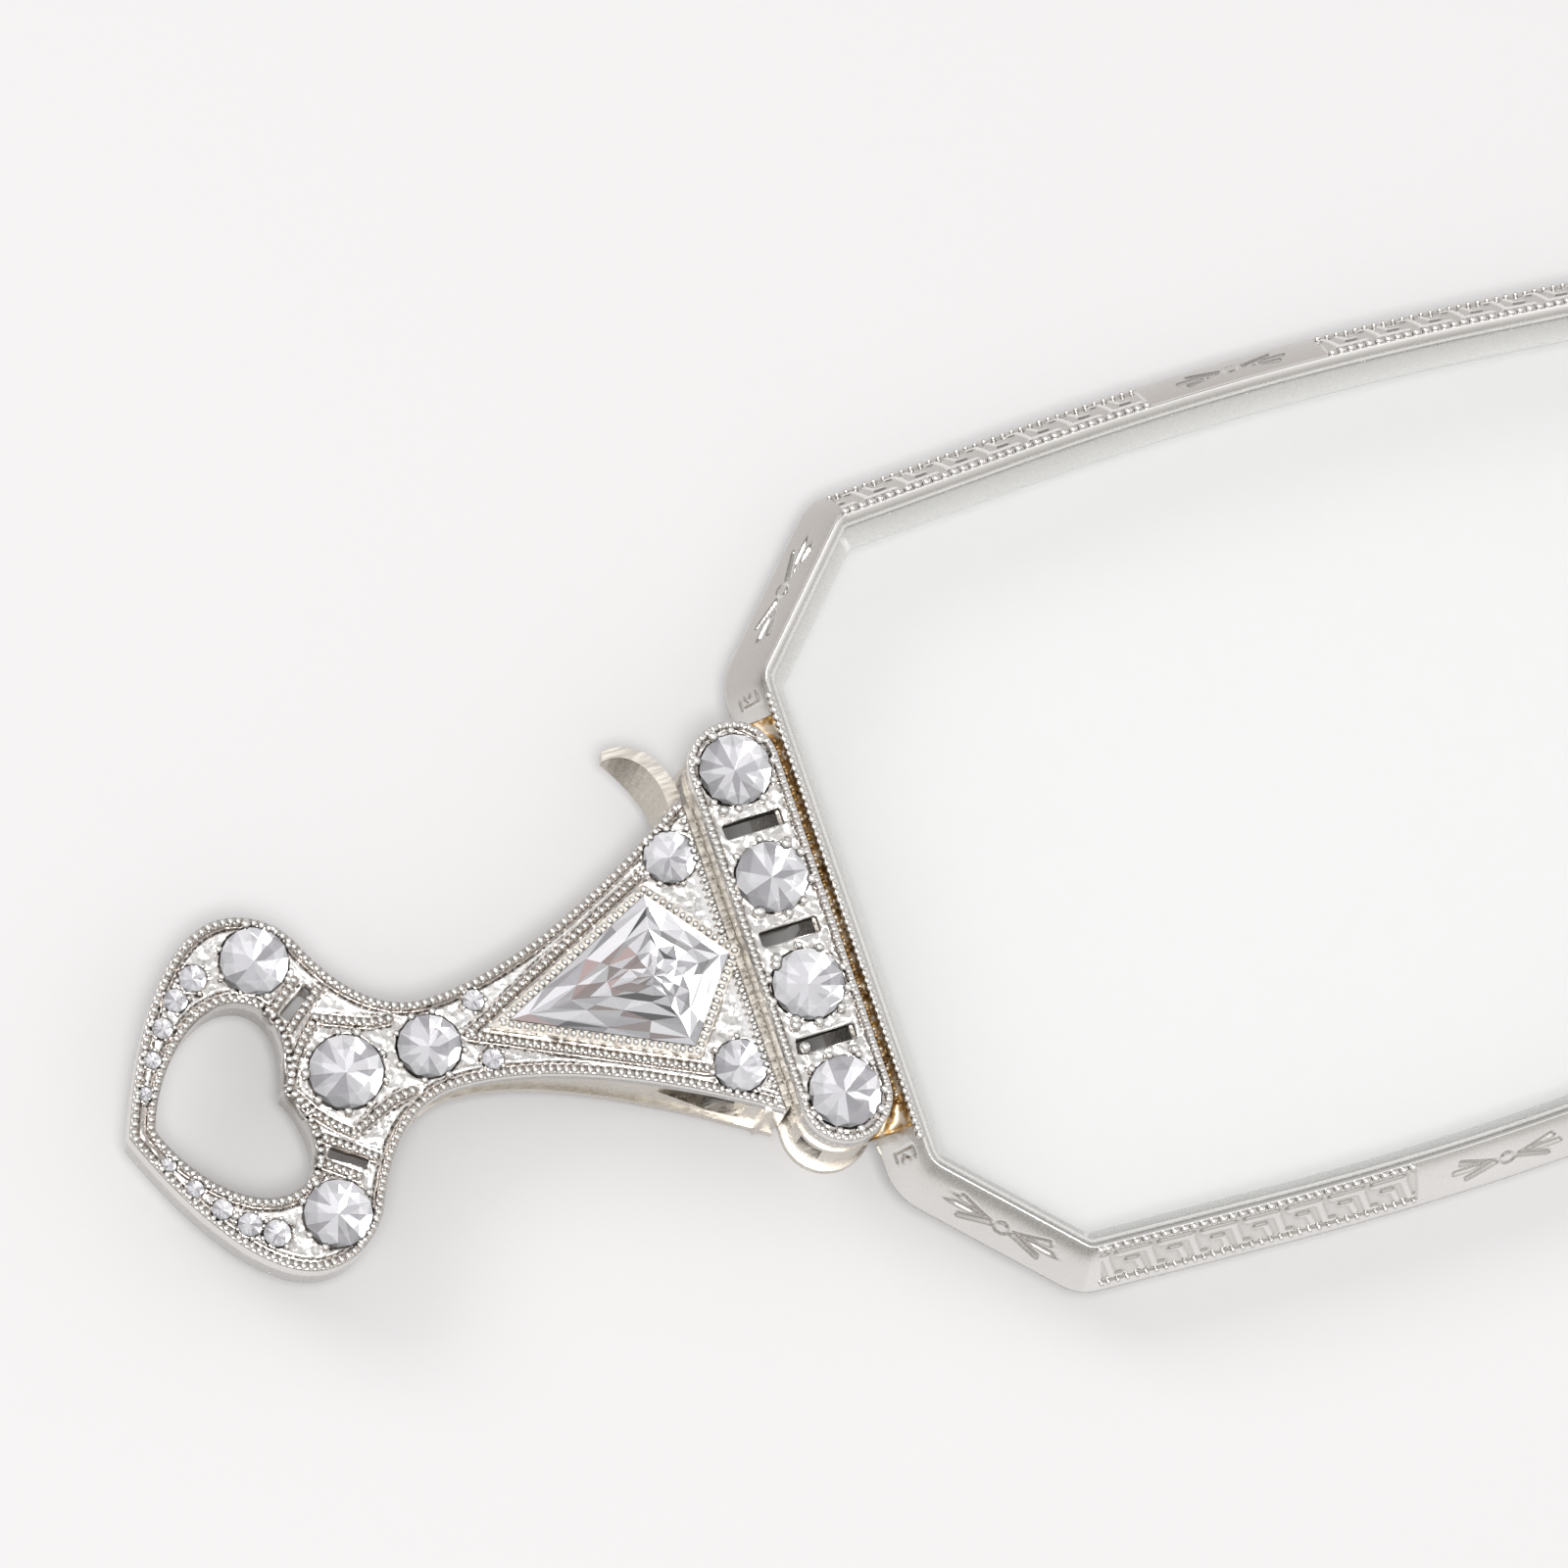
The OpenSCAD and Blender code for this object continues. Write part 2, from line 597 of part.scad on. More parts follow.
// Deep wall below the bar with its foot rail, windows for hook and stud, and pierced ends
module bar_gallery() {
    top = bar_rise - bar_plate_t;
    bar_rib_z = top - 1.5;
    color(old_platinum) place() difference() {
        union() {
            translate([0, 0, foot_z]) linear_extrude(top - foot_z) bar_shape(-rail_out);
            translate([0, 0, foot_z]) linear_extrude(rail_h) bar_shape(0);
            translate([0, 0, top - 0.3]) linear_extrude(0.3) bar_shape(0);
            translate([0, 0, bar_rib_z]) linear_extrude(0.3) bar_shape(-rail_out / 2);
        }
        translate([0, 0, foot_z - 1]) linear_extrude(far_cut) bar_shape(-rail_out - wall_t);
        // window for the hook on the handle side
        translate([-bar_w, hook_y0, hook_z0 - 0.1]) cube([bar_w, hook_y1 - hook_y0, hook_t + 0.2]);
        // upright slot for the stud on the lens side, open at the foot
        translate([0, stud_y - stud_r - 0.2, foot_z - 1])
            cube([bar_w, 2 * (stud_r + 0.2), stud_z + stud_r + 0.2 - foot_z + 1]);
        // pierced opening in each round end, on the handle's side and below the rib
        for (s = [-1, 1]) translate([0, s * (bar_len / 2 - bar_edge), bar_rib_z - 0.85])
            rotate([0, 0, 180 - s * 35]) translate([bar_edge, 0, 0])
                cube([bar_w, 0.8, 1.1], center = true);
    }
}

// ---- lens frames ----

// Closed ring of the rim's cross section carried round the outline
module rim_ring() {
    n = len(frame_outline);
    m = len(rim_profile);
    rings = [for (p = rim_profile) inset(frame_outline, p[0])];
    pts = [for (j = [0:m - 1]) for (i = [0:n - 1]) [rings[j][i][0], rings[j][i][1], rim_profile[j][1]]];
    faces = [for (j = [0:m - 1]) for (i = [0:n - 1]) let (k = (i + 1) % n, l = (j + 1) % m)
        each [[j * n + i, l * n + k, j * n + k], [j * n + i, l * n + i, l * n + k]]];
    polyhedron(pts, faces);
}

// Rim with the pad that the bridge's foot stands on, and two lugs on the nose side that are
// split and drawn together by a screw; the cross bar's shape is cut out beside the handle
module rim_body(bar_clearance) {
    difference() {
        union() {
            translate([0, 0, back_z]) rim_ring();
            translate([frame_end - 0.5, lug_y - lug_len / 2, back_z])
                cube([lug_w + 0.5, lug_len, lug_h]);
            translate([frame_end - 0.5, foot_y0, back_z]) cube([0.5, foot_y1 - foot_y0, lug_h]);
        }
        translate([0, 0, foot_z - 1]) linear_extrude(far_cut) bar_shape(bar_clearance);
        translate([frame_end - 3, lug_y - lug_split / 2, back_z - 1]) cube([6, lug_split, 6]);
        translate([frame_end + lug_w * 0.45, lug_y, back_z + lug_h / 2]) rotate([90, 0, 0])
            cylinder(h = lug_len + 1, r = lug_screw_r, center = true);
    }
}

module rim_screw() {
    translate([frame_end + lug_w * 0.45, lug_y, back_z + lug_h / 2]) rotate([90, 0, 0]) {
        cylinder(h = lug_len, r = lug_screw_r - 0.01, center = true);
        translate([0, 0, lug_len / 2]) difference() {
            cylinder(h = 0.3, r = lug_screw_r * 1.7);
            translate([-1, -0.07, 0.15]) cube([2, 0.14, 1]);
        }
    }
}

module lens_body() {
    edge = inset(frame_outline, face_w + bevel_w - groove_d + lens_gap);
    slab(edge, back_z + lip_z + lens_gap, back_z + lip_z + lens_t - lens_gap);
}

module near_rim() {
    color(platinum) place() difference() {
        rim_body(0);
        // open groove between rim and bar, above their soldered joint
        translate([0, 0, crest_z - groove_depth]) linear_extrude(1) bar_shape(0.15);
    }
}

module far_rim() {
    color(platinum) place_far() rim_body(fold_gap);
}

module near_lens() {
    color(lens_glass, 0.4) place() lens_body();
}

module far_lens() {
    color(lens_glass, 0.4) place_far() lens_body();
}

module near_rim_screw() {
    color(steel) place() rim_screw();
}

module far_rim_screw() {
    color(steel) place_far() rim_screw();
}

// ---- bridge ----
arch_half = nose_gap / 2;
arch_r = (arch_half * arch_half + arch_rise * arch_rise) / (2 * arch_rise);
arch_c = arch_y - arch_r;
barrel_y = arch_y - strap_w / 2;
strap_z = back_z + 0.02;
foot_y1 = arch_c + sqrt(arch_r * arch_r - arch_half * arch_half);
foot_y0 = arch_c + sqrt(pow(arch_r - strap_w, 2) - arch_half * arch_half);

// One arm of the arch, from the rim to the hinge line, with the plate that carries knuckles
module arm_blank() {
    difference() {
        union() {
            translate([hinge_x, arch_c, strap_z]) difference() {
                cylinder(h = strap_t, r = arch_r, $fn = 96);
                translate([0, 0, -1]) cylinder(h = strap_t + 2, r = arch_r - strap_w, $fn = 96);
            }
            translate([hinge_x - knuckle_r - 0.9, barrel_y - barrel_len / 2, strap_z])
                cube([knuckle_r + 0.9, barrel_len, strap_t]);
        }
        translate([hinge_x - hinge_gap, -far_cut / 2, -far_cut / 2]) cube(far_cut);
        translate([frame_end - far_cut, -far_cut / 2, -far_cut / 2]) cube(far_cut);
        translate([0, arch_c - far_cut, -far_cut / 2]) cube(far_cut);
    }
}

// Cylinder along the hinge line between two distances from the barrel's middle
module on_hinge(y0, y1, r) {
    translate([hinge_x, barrel_y + y1, hinge_z]) rotate([90, 0, 0]) cylinder(h = y1 - y0, r = r);
}

module bridge_near_arm() {
    color(platinum) place() difference() {
        union() {
            arm_blank();
            for (s = [-1, 1])
                on_hinge(s > 0 ? middle_len / 2 + hinge_gap : -barrel_len / 2,
                    s > 0 ? barrel_len / 2 : -middle_len / 2 - hinge_gap, knuckle_r);
        }
        on_hinge(-middle_len / 2 - hinge_gap, middle_len / 2 + hinge_gap, knuckle_r + 0.15);
        on_hinge(-barrel_len, barrel_len, hinge_pin_r);
    }
}

module bridge_far_arm() {
    color(platinum) place() difference() {
        union() {
            translate([2 * hinge_x, 0, 0]) mirror([1, 0, 0]) arm_blank();
            on_hinge(-middle_len / 2, middle_len / 2, knuckle_r);
        }
        for (s = [-1, 1])
            on_hinge(s > 0 ? middle_len / 2 : -barrel_len, s > 0 ? barrel_len : -middle_len / 2,
                knuckle_r + 0.15);
        on_hinge(-middle_len / 2 - 1, middle_len / 2 + 1, hinge_pin_r + hinge_gap);
        on_hinge(-middle_len / 2 + 0.3, middle_len / 2 - 0.3, knuckle_r - 0.3);
    }
}

module bridge_pin() {
    color(steel) place() {
        on_hinge(-barrel_len / 2, barrel_len / 2, hinge_pin_r - 0.01);
        on_hinge(barrel_len / 2, barrel_len / 2 + 0.25, hinge_pin_r * 1.7);
        on_hinge(-barrel_len / 2 - 0.25, -barrel_len / 2, hinge_pin_r * 1.7);
    }
}

// Wound spring closed up inside the middle knuckle, drawn as its outer sleeve
module bridge_spring() {
    color(steel) place() difference() {
        on_hinge(-middle_len / 2 + 0.36, middle_len / 2 - 0.36, knuckle_r - 0.36);
        on_hinge(-middle_len, middle_len, hinge_pin_r);
    }
}

// ---- catch ----
lever_p = [mouth_x - 2, 0.9];
lever_z1 = -2.8;
lever_z2 = lever_z1 + ribbon_w;
hub_top = lever_z2 + 0.3;
stud_y = 0.9;
stud_z = 2 * hinge_z - (back_z + 0.62);
hook_z0 = stud_z - stud_r - 0.08 - hook_t;
hook_y0 = stud_y - 0.55;
hook_y1 = stud_y + 1.8;
lever_sole = lookup(lever_p[0], sole_curve);
hook_end = bar_edge - rail_out - wall_t - 0.15;

// Lever: hub, hook, and a bowed ribbon that leans towards the bar as it comes out of the handle
// and narrows to the thumb curl. The ribbon's front and back edges are separate curves.
module lever() {
    root = [lever_p[0] + 0.2, lever_p[1] + 0.5];
    tip = [mouth_x - 1.68, mouth_half_w + thumb_out + 0.19];
    front_bend = [mouth_x - 0.06, mouth_half_w - 0.45];
    back_bend = [mouth_x - 0.38, mouth_half_w - 0.45];
    front = concat(curve(root, root + [0.5, 1.6], front_bend - [0.12, 1.3], front_bend, 8),
        curve(front_bend, front_bend + [0.33, 1.3], tip + [1.2, 0.21], tip, 12), [tip]);
    back = concat(curve(root, root + [0.5, 1.6], back_bend - [0.12, 1.3], back_bend, 8),
        curve(back_bend, back_bend + [-0.05, 1], tip + [0.8, -0.64], tip, 12), [tip]);
    n = len(front);
    pts = [for (i = [0:n - 1]) let (
        past = max(i - 1, 0), next = min(i + 1, n - 1), out = max(0, i - 8) / (n - 9),
        side = edge_normal(front[past] + back[past], front[next] + back[next])
            * ribbon_t / 2 * (1 - 0.35 * out * out),
        back_z = lever_z1 + 0.6 * ribbon_w * out * out * out)
        each [[each (front[i] - side), lever_z2], [each (front[i] + side), lever_z2],
            [each (back[i] + side), back_z], [each (back[i] - side), back_z]]];
    faces = concat([[3, 2, 1, 0]], [[4 * n - 4, 4 * n - 3, 4 * n - 2, 4 * n - 1]],
        [for (i = [0:n - 2]) for (k = [0:3]) let (l = (k + 1) % 4, a = 4 * i, b = 4 * i + 4)
            each [[a + k, b + l, b + k], [a + k, a + l, b + l]]]);
    color(platinum) place() difference() {
        union() {
            polyhedron(pts, faces);
            translate([lever_p[0], lever_p[1], hook_z0])
                cylinder(h = hub_top - hook_z0, r = hub_r);
            translate([lever_p[0] + 0.3, stud_y - 0.15, hook_z0])
                cube([hook_end - lever_p[0] - 0.3, hub_r, hook_t]);
        }
        translate([lever_p[0], lever_p[1], hook_z0 - 1])
            cylinder(h = 10, r = pivot_r + pivot_gap);
    }
}

module lever_pivot_screw() {
    color(steel) place() translate([lever_p[0], lever_p[1], 0]) difference() {
        union() {
            translate([0, 0, lever_sole + 0.05])
                cylinder(h = hub_top - lever_sole, r = pivot_r - 0.01);
            translate([0, 0, lever_sole + 0.05]) cylinder(h = 0.15, r = pivot_r * 2 - 0.03);
        }
        translate([-1, -0.07, lever_sole]) cube([2, 0.14, 0.12]);
    }
}

// Hairpin spring: turns round the top of the lever's hub, its leg held under the collet
module lever_spring() {
    wire = 0.2;
    wire_z = hub_top - wire - 0.03;
    post = [kite_tip + 3.5, -1.32];
    turn_r = hub_r + 0.06 + wire / 2;
    span = [lever_p[0] - post[0], lever_p[1] - post[1]];
    leg = sqrt(span * span - turn_r * turn_r);
    aim = atan2(span[1], span[0]) - asin(turn_r / norm(span));
    color(steel) place() {
        translate([lever_p[0], lever_p[1], wire_z]) rotate([0, 0, aim - 90])
            rotate_extrude(angle = 250) translate([turn_r - wire / 2, 0]) square(wire);
        translate([post[0], post[1], wire_z]) rotate([0, 0, aim])
            translate([0, -wire / 2, 0]) cube([leg + 0.02, wire, wire]);
        translate([post[0], post[1], wire_z]) cylinder(h = -panel_t - wire_z, r = 0.24);
    }
}

// Stud on the second frame, drawn open; folded, it stands over the hook
module catch_stud() {
    z_open = back_z + 0.62;
    color(steel) place_far() {
        translate([stud_foot_x, stud_y, z_open]) rotate([0, -90, 0])
            cylinder(h = stud_len, r = stud_r);
    }
}

heart_loop();
heart_diamonds();
heart_melee();
handle_panel();
handle_gallery();
back_plate();
stem_diamonds();
stem_melee();
kite_bezel();
kite_diamond();
shoulder_diamonds();
bar_plate();
bar_gallery();
bar_diamonds();
lever();
lever_pivot_screw();
lever_spring();
near_rim();
near_lens();
near_rim_screw();
bridge_near_arm();
bridge_far_arm();
bridge_pin();
bridge_spring();
far_rim();
far_lens();
far_rim_screw();
catch_stud();
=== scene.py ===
"""Folding lorgnette in milled platinum and diamonds, opened out and lying on a pale page.

Sizes are millimetres from the middle of the cross bar, at the level of the handle's face, until
spot() turns them into metres in the frame. X runs along the handle, Y across, Z out of the front.
"""

import bpy
import numpy as np
from mathutils import Matrix
from mathutils.geometry import delaunay_2d_cdt


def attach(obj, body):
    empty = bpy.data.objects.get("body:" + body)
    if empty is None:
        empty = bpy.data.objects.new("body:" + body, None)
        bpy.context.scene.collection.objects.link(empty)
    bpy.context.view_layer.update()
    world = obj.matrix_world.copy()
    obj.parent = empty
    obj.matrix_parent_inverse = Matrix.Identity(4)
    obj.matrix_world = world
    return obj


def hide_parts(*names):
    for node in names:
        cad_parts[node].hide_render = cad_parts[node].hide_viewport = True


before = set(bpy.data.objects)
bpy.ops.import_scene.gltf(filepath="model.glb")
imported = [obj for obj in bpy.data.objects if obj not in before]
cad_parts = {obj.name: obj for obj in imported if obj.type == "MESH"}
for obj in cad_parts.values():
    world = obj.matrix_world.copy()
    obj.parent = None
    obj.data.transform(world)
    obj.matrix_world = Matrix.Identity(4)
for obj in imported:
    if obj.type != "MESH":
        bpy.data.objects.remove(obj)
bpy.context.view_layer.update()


# The view
#
# A long lens 40 cm away, square to the front but tilted 15 degrees, with the handle running down
# to the left and the near lens frame leaving the picture on the right.
def spot(p):
    """Millimetres from the bar's middle, as rows of x, y, z, to metres in the frame."""
    return (np.asarray(p, float) + [-35.5, 0.0, 4.35]) * 0.001


def unit(v):
    """A vector, or each row of an array, divided by its own length."""
    v = np.asarray(v, float)
    return v / np.linalg.norm(v, axis=-1, keepdims=True)


def put(name, data):
    """Adds an object to the scene."""
    made = bpy.data.objects.new(name, data)
    bpy.context.scene.collection.objects.link(made)
    return made


def stand(name, data, right, up, back, place):
    """Adds a camera or lamp whose own axes lie along the three given directions."""
    made = put(name, data)
    turn = np.eye(4)
    turn[:3] = np.column_stack([right, up, back, place])
    made.matrix_world = Matrix(turn.tolist())
    return made


def aim_camera(right, up, off_centre, distance, lens):
    """Camera whose axes are the two given directions and their cross product. It stands at
    distance along the third axis, and off_centre is where the bar's middle falls in the view."""
    right = unit(right)
    up = unit(np.array(up) - np.dot(up, right) * right)
    back = np.cross(right, up)
    place = spot(distance * back - off_centre[0] * right - off_centre[1] * up)
    data = bpy.data.cameras.new("long_lens")
    data.lens, data.sensor_width, data.clip_start, data.clip_end = lens, 36.0, 0.01, 10.0
    bpy.context.scene.camera = stand("long_lens", data, right, up, back, place)


aim_camera(right=(0.9382, -0.3196, 0.1329), up=(0.2863, 0.9323, 0.2210),
           off_centre=(0.08, -4.647), distance=400.0, lens=300.5)


# Heart loop and flared handle
#
# Solid heart at the end of a hollow handle that flares to the bar, milled from platinum. The face
# is bright-cut inside a raised border that a knurling wheel has rolled into fine beads (milgrain).
def colour(hex_code):
    """An sRGB hex code as the linear colour that shaders take."""
    c = np.array([int(hex_code[i:i + 2], 16) for i in (1, 3, 5)]) / 255.0
    return (*np.where(c <= 0.04045, c / 12.92, ((c + 0.055) / 1.055) ** 2.4), 1.0)


def add(tree, kind, inputs=None, **settings):
    """Adds one node: settings are its own properties, inputs its socket values or the sockets
    that feed them."""
    node = tree.nodes.new(kind)
    for key, value in settings.items():
        setattr(node, key, value)
    for key, value in (inputs or {}).items():
        if isinstance(value, bpy.types.NodeSocket):
            tree.links.new(value, node.inputs[key])
        else:
            node.inputs[key].default_value = value
    return node


def blend(tree, factor, first, second):
    """Mixes two colours. A Mix node takes its colours at sockets 6 and 7 and gives them at 2."""
    return add(tree, "ShaderNodeMix", {"Factor": factor, 6: first, 7: second},
               data_type="RGBA").outputs[2]


def noise(tree, where, scale, detail):
    """Cloudy values from 0 to 1, in patches about 1 / scale across."""
    return add(tree, "ShaderNodeTexNoise",
               {"Vector": where, "Scale": scale, "Detail": detail}).outputs["Fac"]


def remap(tree, value, source, target):
    """Turns one range of values into another, and holds those outside it at its ends."""
    ends = zip(("From Min", "From Max", "To Min", "To Max"), (*source, *target))
    return add(tree, "ShaderNodeMapRange", {"Value": value, **dict(ends)}).outputs[0]


def bumps(tree, height, strength, rise):
    """Normals of a surface that a value from 0 to 1 raises by up to rise metres."""
    return add(tree, "ShaderNodeBump",
               {"Height": height, "Strength": strength, "Distance": rise}).outputs[0]


def new_finish(name):
    """An empty material, and its node tree."""
    finish = bpy.data.materials.new(name)
    finish.use_nodes = True
    finish.node_tree.nodes.clear()
    return finish, finish.node_tree


def own_space(tree):
    """Coordinates of the object that wears the material."""
    return add(tree, "ShaderNodeTexCoord").outputs["Object"]


def coated(finish, inputs):
    """Ends a material with one principled surface, which takes its inputs as add() does."""
    surface = add(finish.node_tree, "ShaderNodeBsdfPrincipled", inputs)
    add(finish.node_tree, "ShaderNodeOutputMaterial", {"Surface": surface.outputs[0]})
    return finish


def metal(name, light, dark, rough, scratch_mm=0.06, scratch=0.25, grain=(1, 1, 1)):
    """Metal whose colour drifts between two tones over about 3 mm, and turns brown-grey where the
    mesh
    is marked with dirt_and_shade: old dirt and painted shade in hollows and under beads. Its
    roughness and a fine bump follow scratches scratch_mm apart, stretched by grain where a file or
    wheel ran one way."""
    finish, tree = new_finish(name)
    where = own_space(tree)
    tone = blend(tree, noise(tree, where, 330.0, 3.0), colour(light), colour(dark))
    # The mesh's mark blends in brown-grey #75665A: part old dirt, part painted shade in hollows and
    # under beads.
    mark = add(tree, "ShaderNodeAttribute", attribute_name="dirt_and_shade")
    soiled_and_shaded = blend(tree, mark.outputs["Fac"], tone, colour("#75665A"))
    run = add(tree, "ShaderNodeMapping", {"Vector": where, "Scale": grain})
    marks = noise(tree, run.outputs[0], 1000.0 / scratch_mm, 4.0)
    return coated(finish, {"Base Color": soiled_and_shaded, "Metallic": 1.0,
                           "Roughness": remap(tree, marks, (0.3, 0.7), (rough * 0.6, rough * 1.5)),
                           "Normal": bumps(tree, marks, scratch, 0.00002)})


def dress(finish, slot_name, *node_names):
    """Gives CAD nodes their finish."""
    for node in (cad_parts[name] for name in node_names):
        node.data.materials.clear()
        node.data.materials.append(finish)


def piece(name, points, faces, finish, slot_name, body="handle", smooth=True, stands_for=(),
          dirt_and_shade=None, layers=None):
    """New mesh from millimetre points and faces, riding on a body. dirt_and_shade marks points from
    0, bright, to 1, dark with old dirt and painted shade. With a list of finishes, layers picks one
    per face."""
    mesh = bpy.data.meshes.new(name)
    mesh.from_pydata(spot(points), [], [list(map(int, f)) for f in faces])
    mesh.polygons.foreach_set("use_smooth", [smooth] * len(mesh.polygons))
    for layer in finish if isinstance(finish, list) else [finish]:
        mesh.materials.append(layer)
    if layers is not None:
        mesh.polygons.foreach_set("material_index", np.asarray(layers, int))
    if dirt_and_shade is not None:
        mesh.attributes.new("dirt_and_shade", "FLOAT", "POINT").data.foreach_set("value", dirt_and_shade)
    mesh.update()
    made = put(name, mesh)
    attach(made, body)
    if stands_for:
        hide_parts(*stands_for)


milled = metal("milled_platinum", "#F2F0EE", "#E5E3E0", 0.2, scratch=0.07)
# Darker platinum for the walls, collet and lever: part wear, part painted shade on faces the light
# reaches less.
worn_and_shaded = metal("worn_and_shaded_platinum", "#E2DDD6", "#BFB8AD", 0.3, scratch_mm=0.12, scratch=0.35,
             grain=(0.15, 1, 1))
dress(milled, "platinum", "heart_loop", "handle_panel", "back_plate")
dress(worn_and_shaded, "old_platinum", "handle_gallery")


def bezier(a, b, c, d, n):
    """Cubic curve from a to d with handles b and c, n points, without its last one."""
    t = (np.arange(n) / n)[:, None]
    a, b, c, d = (np.array(p, float) for p in (a, b, c, d))
    return (1 - t) ** 3 * a + 3 * (1 - t) ** 2 * t * b + 3 * (1 - t) * t * t * c + t ** 3 * d


def closed_with_mirror(upper, middle):
    """The upper half of an outline, its middle point, and the same half mirrored in the axis."""
    lower = upper[::-1] * [1, -1]
    return np.vstack([upper, [middle], lower[:-1] if upper[0, 1] == 0 else lower])


tip, lobe, side, neck, mouth = (np.array(p) for p in (
    (-21.2, 0.0), (-16.55, 5.65), (-14.4, 4.2), (-11.2, 1.46), (-1.72, 5.15)))
heart_curve = lobe, lobe - [1.9, 0], [-20.16, 2.73], tip
handle_edge = closed_with_mirror(np.vstack([
    bezier(mouth, mouth - [2.84, 1.87], neck + [3, 0], neck, 60),
    bezier(neck, neck - [1.4, 0], side + [0.68, -1.56], side, 40),
    bezier(side, side + [-0.32, 0.74], lobe + [1, 0], lobe, 30),
    bezier(*heart_curve, 60)]), tip)
hole_tip, hole_top, hole_side, cusp = (np.array(p) for p in (
    (-20.35, 0.0), (-17.2, 3.08), (-15.85, 1.6), (-16.25, 0.0)))
hole_curve = hole_top, hole_top - [1.3, 0], hole_tip + [0.45, 1.45], hole_tip
hole_edge = closed_with_mirror(np.vstack([
    bezier(cusp, cusp + [0.2, 0.35], hole_side - [0, 0.7], hole_side, 20),
    bezier(hole_side, hole_side + [0, 0.9], hole_top + [0.8, 0], hole_top, 30),
    bezier(*hole_curve, 40)]), hole_tip)


def ways_at(a):
    """Plan directions at the angles a."""
    return np.column_stack([np.cos(a), np.sin(a)])


def to_left(v):
    """Plan directions turned a quarter turn to their left."""
    return np.stack([-v[:, 1], v[:, 0]], 1)


def moved_in(outline, d):
    """Anticlockwise outline moved to its left by d, corners mitred."""
    ahead = unit(np.roll(outline, -1, 0) - outline)
    n0, n1 = to_left(np.roll(ahead, 1, 0)), to_left(ahead)
    return outline + d * (n0 + n1) / (1 + (n0 * n1).sum(1))[:, None]


def length_along(path):
    """Length of an open path from its start to each of its points."""
    return np.r_[0, np.cumsum(np.linalg.norm(np.diff(path, axis=0), axis=1))]


def sampled(path, run, at):
    """Places at the lengths at of a path whose own points lie at the lengths run."""
    return np.column_stack([np.interp(at, run, path[:, i]) for i in (0, 1)])


def evenly(path, pitch, closed=True):
    """Points along a path at equal steps, close to pitch."""
    path = np.vstack([path, path[:1]]) if closed else np.asarray(path, float)
    run = length_along(path)
    n = max(2, int(round(run[-1] / pitch)))
    at = np.arange(n) / n * run[-1] if closed else np.linspace(0, run[-1], n + 1)
    return sampled(path, run, at)


def with_height(path, z):
    """Plan path lifted to height z."""
    return np.column_stack([path, np.full(len(path), z)])


def bands(rings, around, closed=False):
    """Quads between neighbouring rings of points and, if closed, from the last to the first."""
    i, j = np.meshgrid(np.arange(rings if closed else rings - 1), np.arange(around), indexing="ij")
    a, b = (i + 1) % rings, (j + 1) % around
    return np.stack([i * around + j, a * around + j, a * around + b, i * around + b],
                    -1).reshape(-1, 4)


def ball(around=8, levels=4):
    """Unit sphere of rings of points: its points, its triangles at the poles and its quads."""
    round_it = ways_at(2 * np.pi * np.arange(around) / around)
    rings = np.vstack([with_height(np.sin(t) * round_it, np.cos(t))
                       for t in np.pi * np.arange(1, levels) / levels])
    j, last = np.arange(around), (levels - 2) * around
    k = np.roll(j, -1)
    north, south = (np.full(around, len(rings) + pole) for pole in (0, 1))
    caps = np.vstack([np.stack([north, j, k], 1), np.stack([last + k, last + j, south], 1)])
    return np.vstack([rings, [[0, 0, 1], [0, 0, -1]]]), caps, bands(levels - 1, around)


def balls(name, centres, shape, body="handle", finish=milled, slot_name="platinum", ways=None,
          scale=1.0):
    """One small ball at each centre, with the half sizes given by shape, its first turned to
    ways. Each varies in size by a few hundredths, and its under side is darkened as painted shade."""
    one, caps, quads = ball()
    count = len(centres)
    size = np.random.default_rng(count).normal(1.0, 0.05, count) * scale
    local = one * np.asarray(shape) * size[:, None, None]
    if ways is not None:
        local = np.concatenate([local[..., :1] * ways[:, None]
                                + local[..., 1:2] * to_left(ways)[:, None], local[..., 2:]], -1)
    points = (np.asarray(centres, float)[:, None] + local).reshape(-1, 3)
    first = np.arange(count)[:, None, None] * len(one)
    faces = [face for kind in (caps, quads)
             for face in (kind + first).reshape(-1, kind.shape[1]).tolist()]
    # Painted shade: the lower half of each ball darkens towards its bottom.
    dirt_and_shade = np.tile(np.clip(0.55 - one[:, 2] * 1.1, 0, 1), count)
    piece(name, points, faces, finish, slot_name, body, dirt_and_shade=dirt_and_shade)


def milgrain(name, rows, level=0.0, pitch=0.24, shape=(0.1, 0.145, 0.12)):
    """Rows of beads rolled along plan paths at one height. rows holds each path with whether it
    is closed, and shape a bead's half sizes along the row, across it and upwards."""
    places, ways = [], []
    for path, closed in rows:
        at = evenly(path, pitch, closed)
        ahead = np.roll(at, -1, 0) - np.roll(at, 1, 0)
        if not closed:
            ahead[0], ahead[-1] = at[1] - at[0], at[-1] - at[-2]
        places.append(at)
        ways.append(unit(ahead))
    balls(name, with_height(np.vstack(places), level), shape, ways=np.vstack(ways))


def inside(points, loops):
    """True where a point lies inside the first loop and outside the others: the number of loop
    edges that a ray along +X crosses is odd."""
    odd = np.zeros(len(points), bool)
    x, y = points[:, 0], points[:, 1]
    for loop in loops:
        for a, b in zip(loop, np.roll(loop, -1, 0)):
            if a[1] != b[1]:
                hit = (y > min(a[1], b[1])) & (y <= max(a[1], b[1]))
                odd[hit] ^= x[hit] < a[0] + (y[hit] - a[1]) * (b[0] - a[0]) / (b[1] - a[1])
    return odd


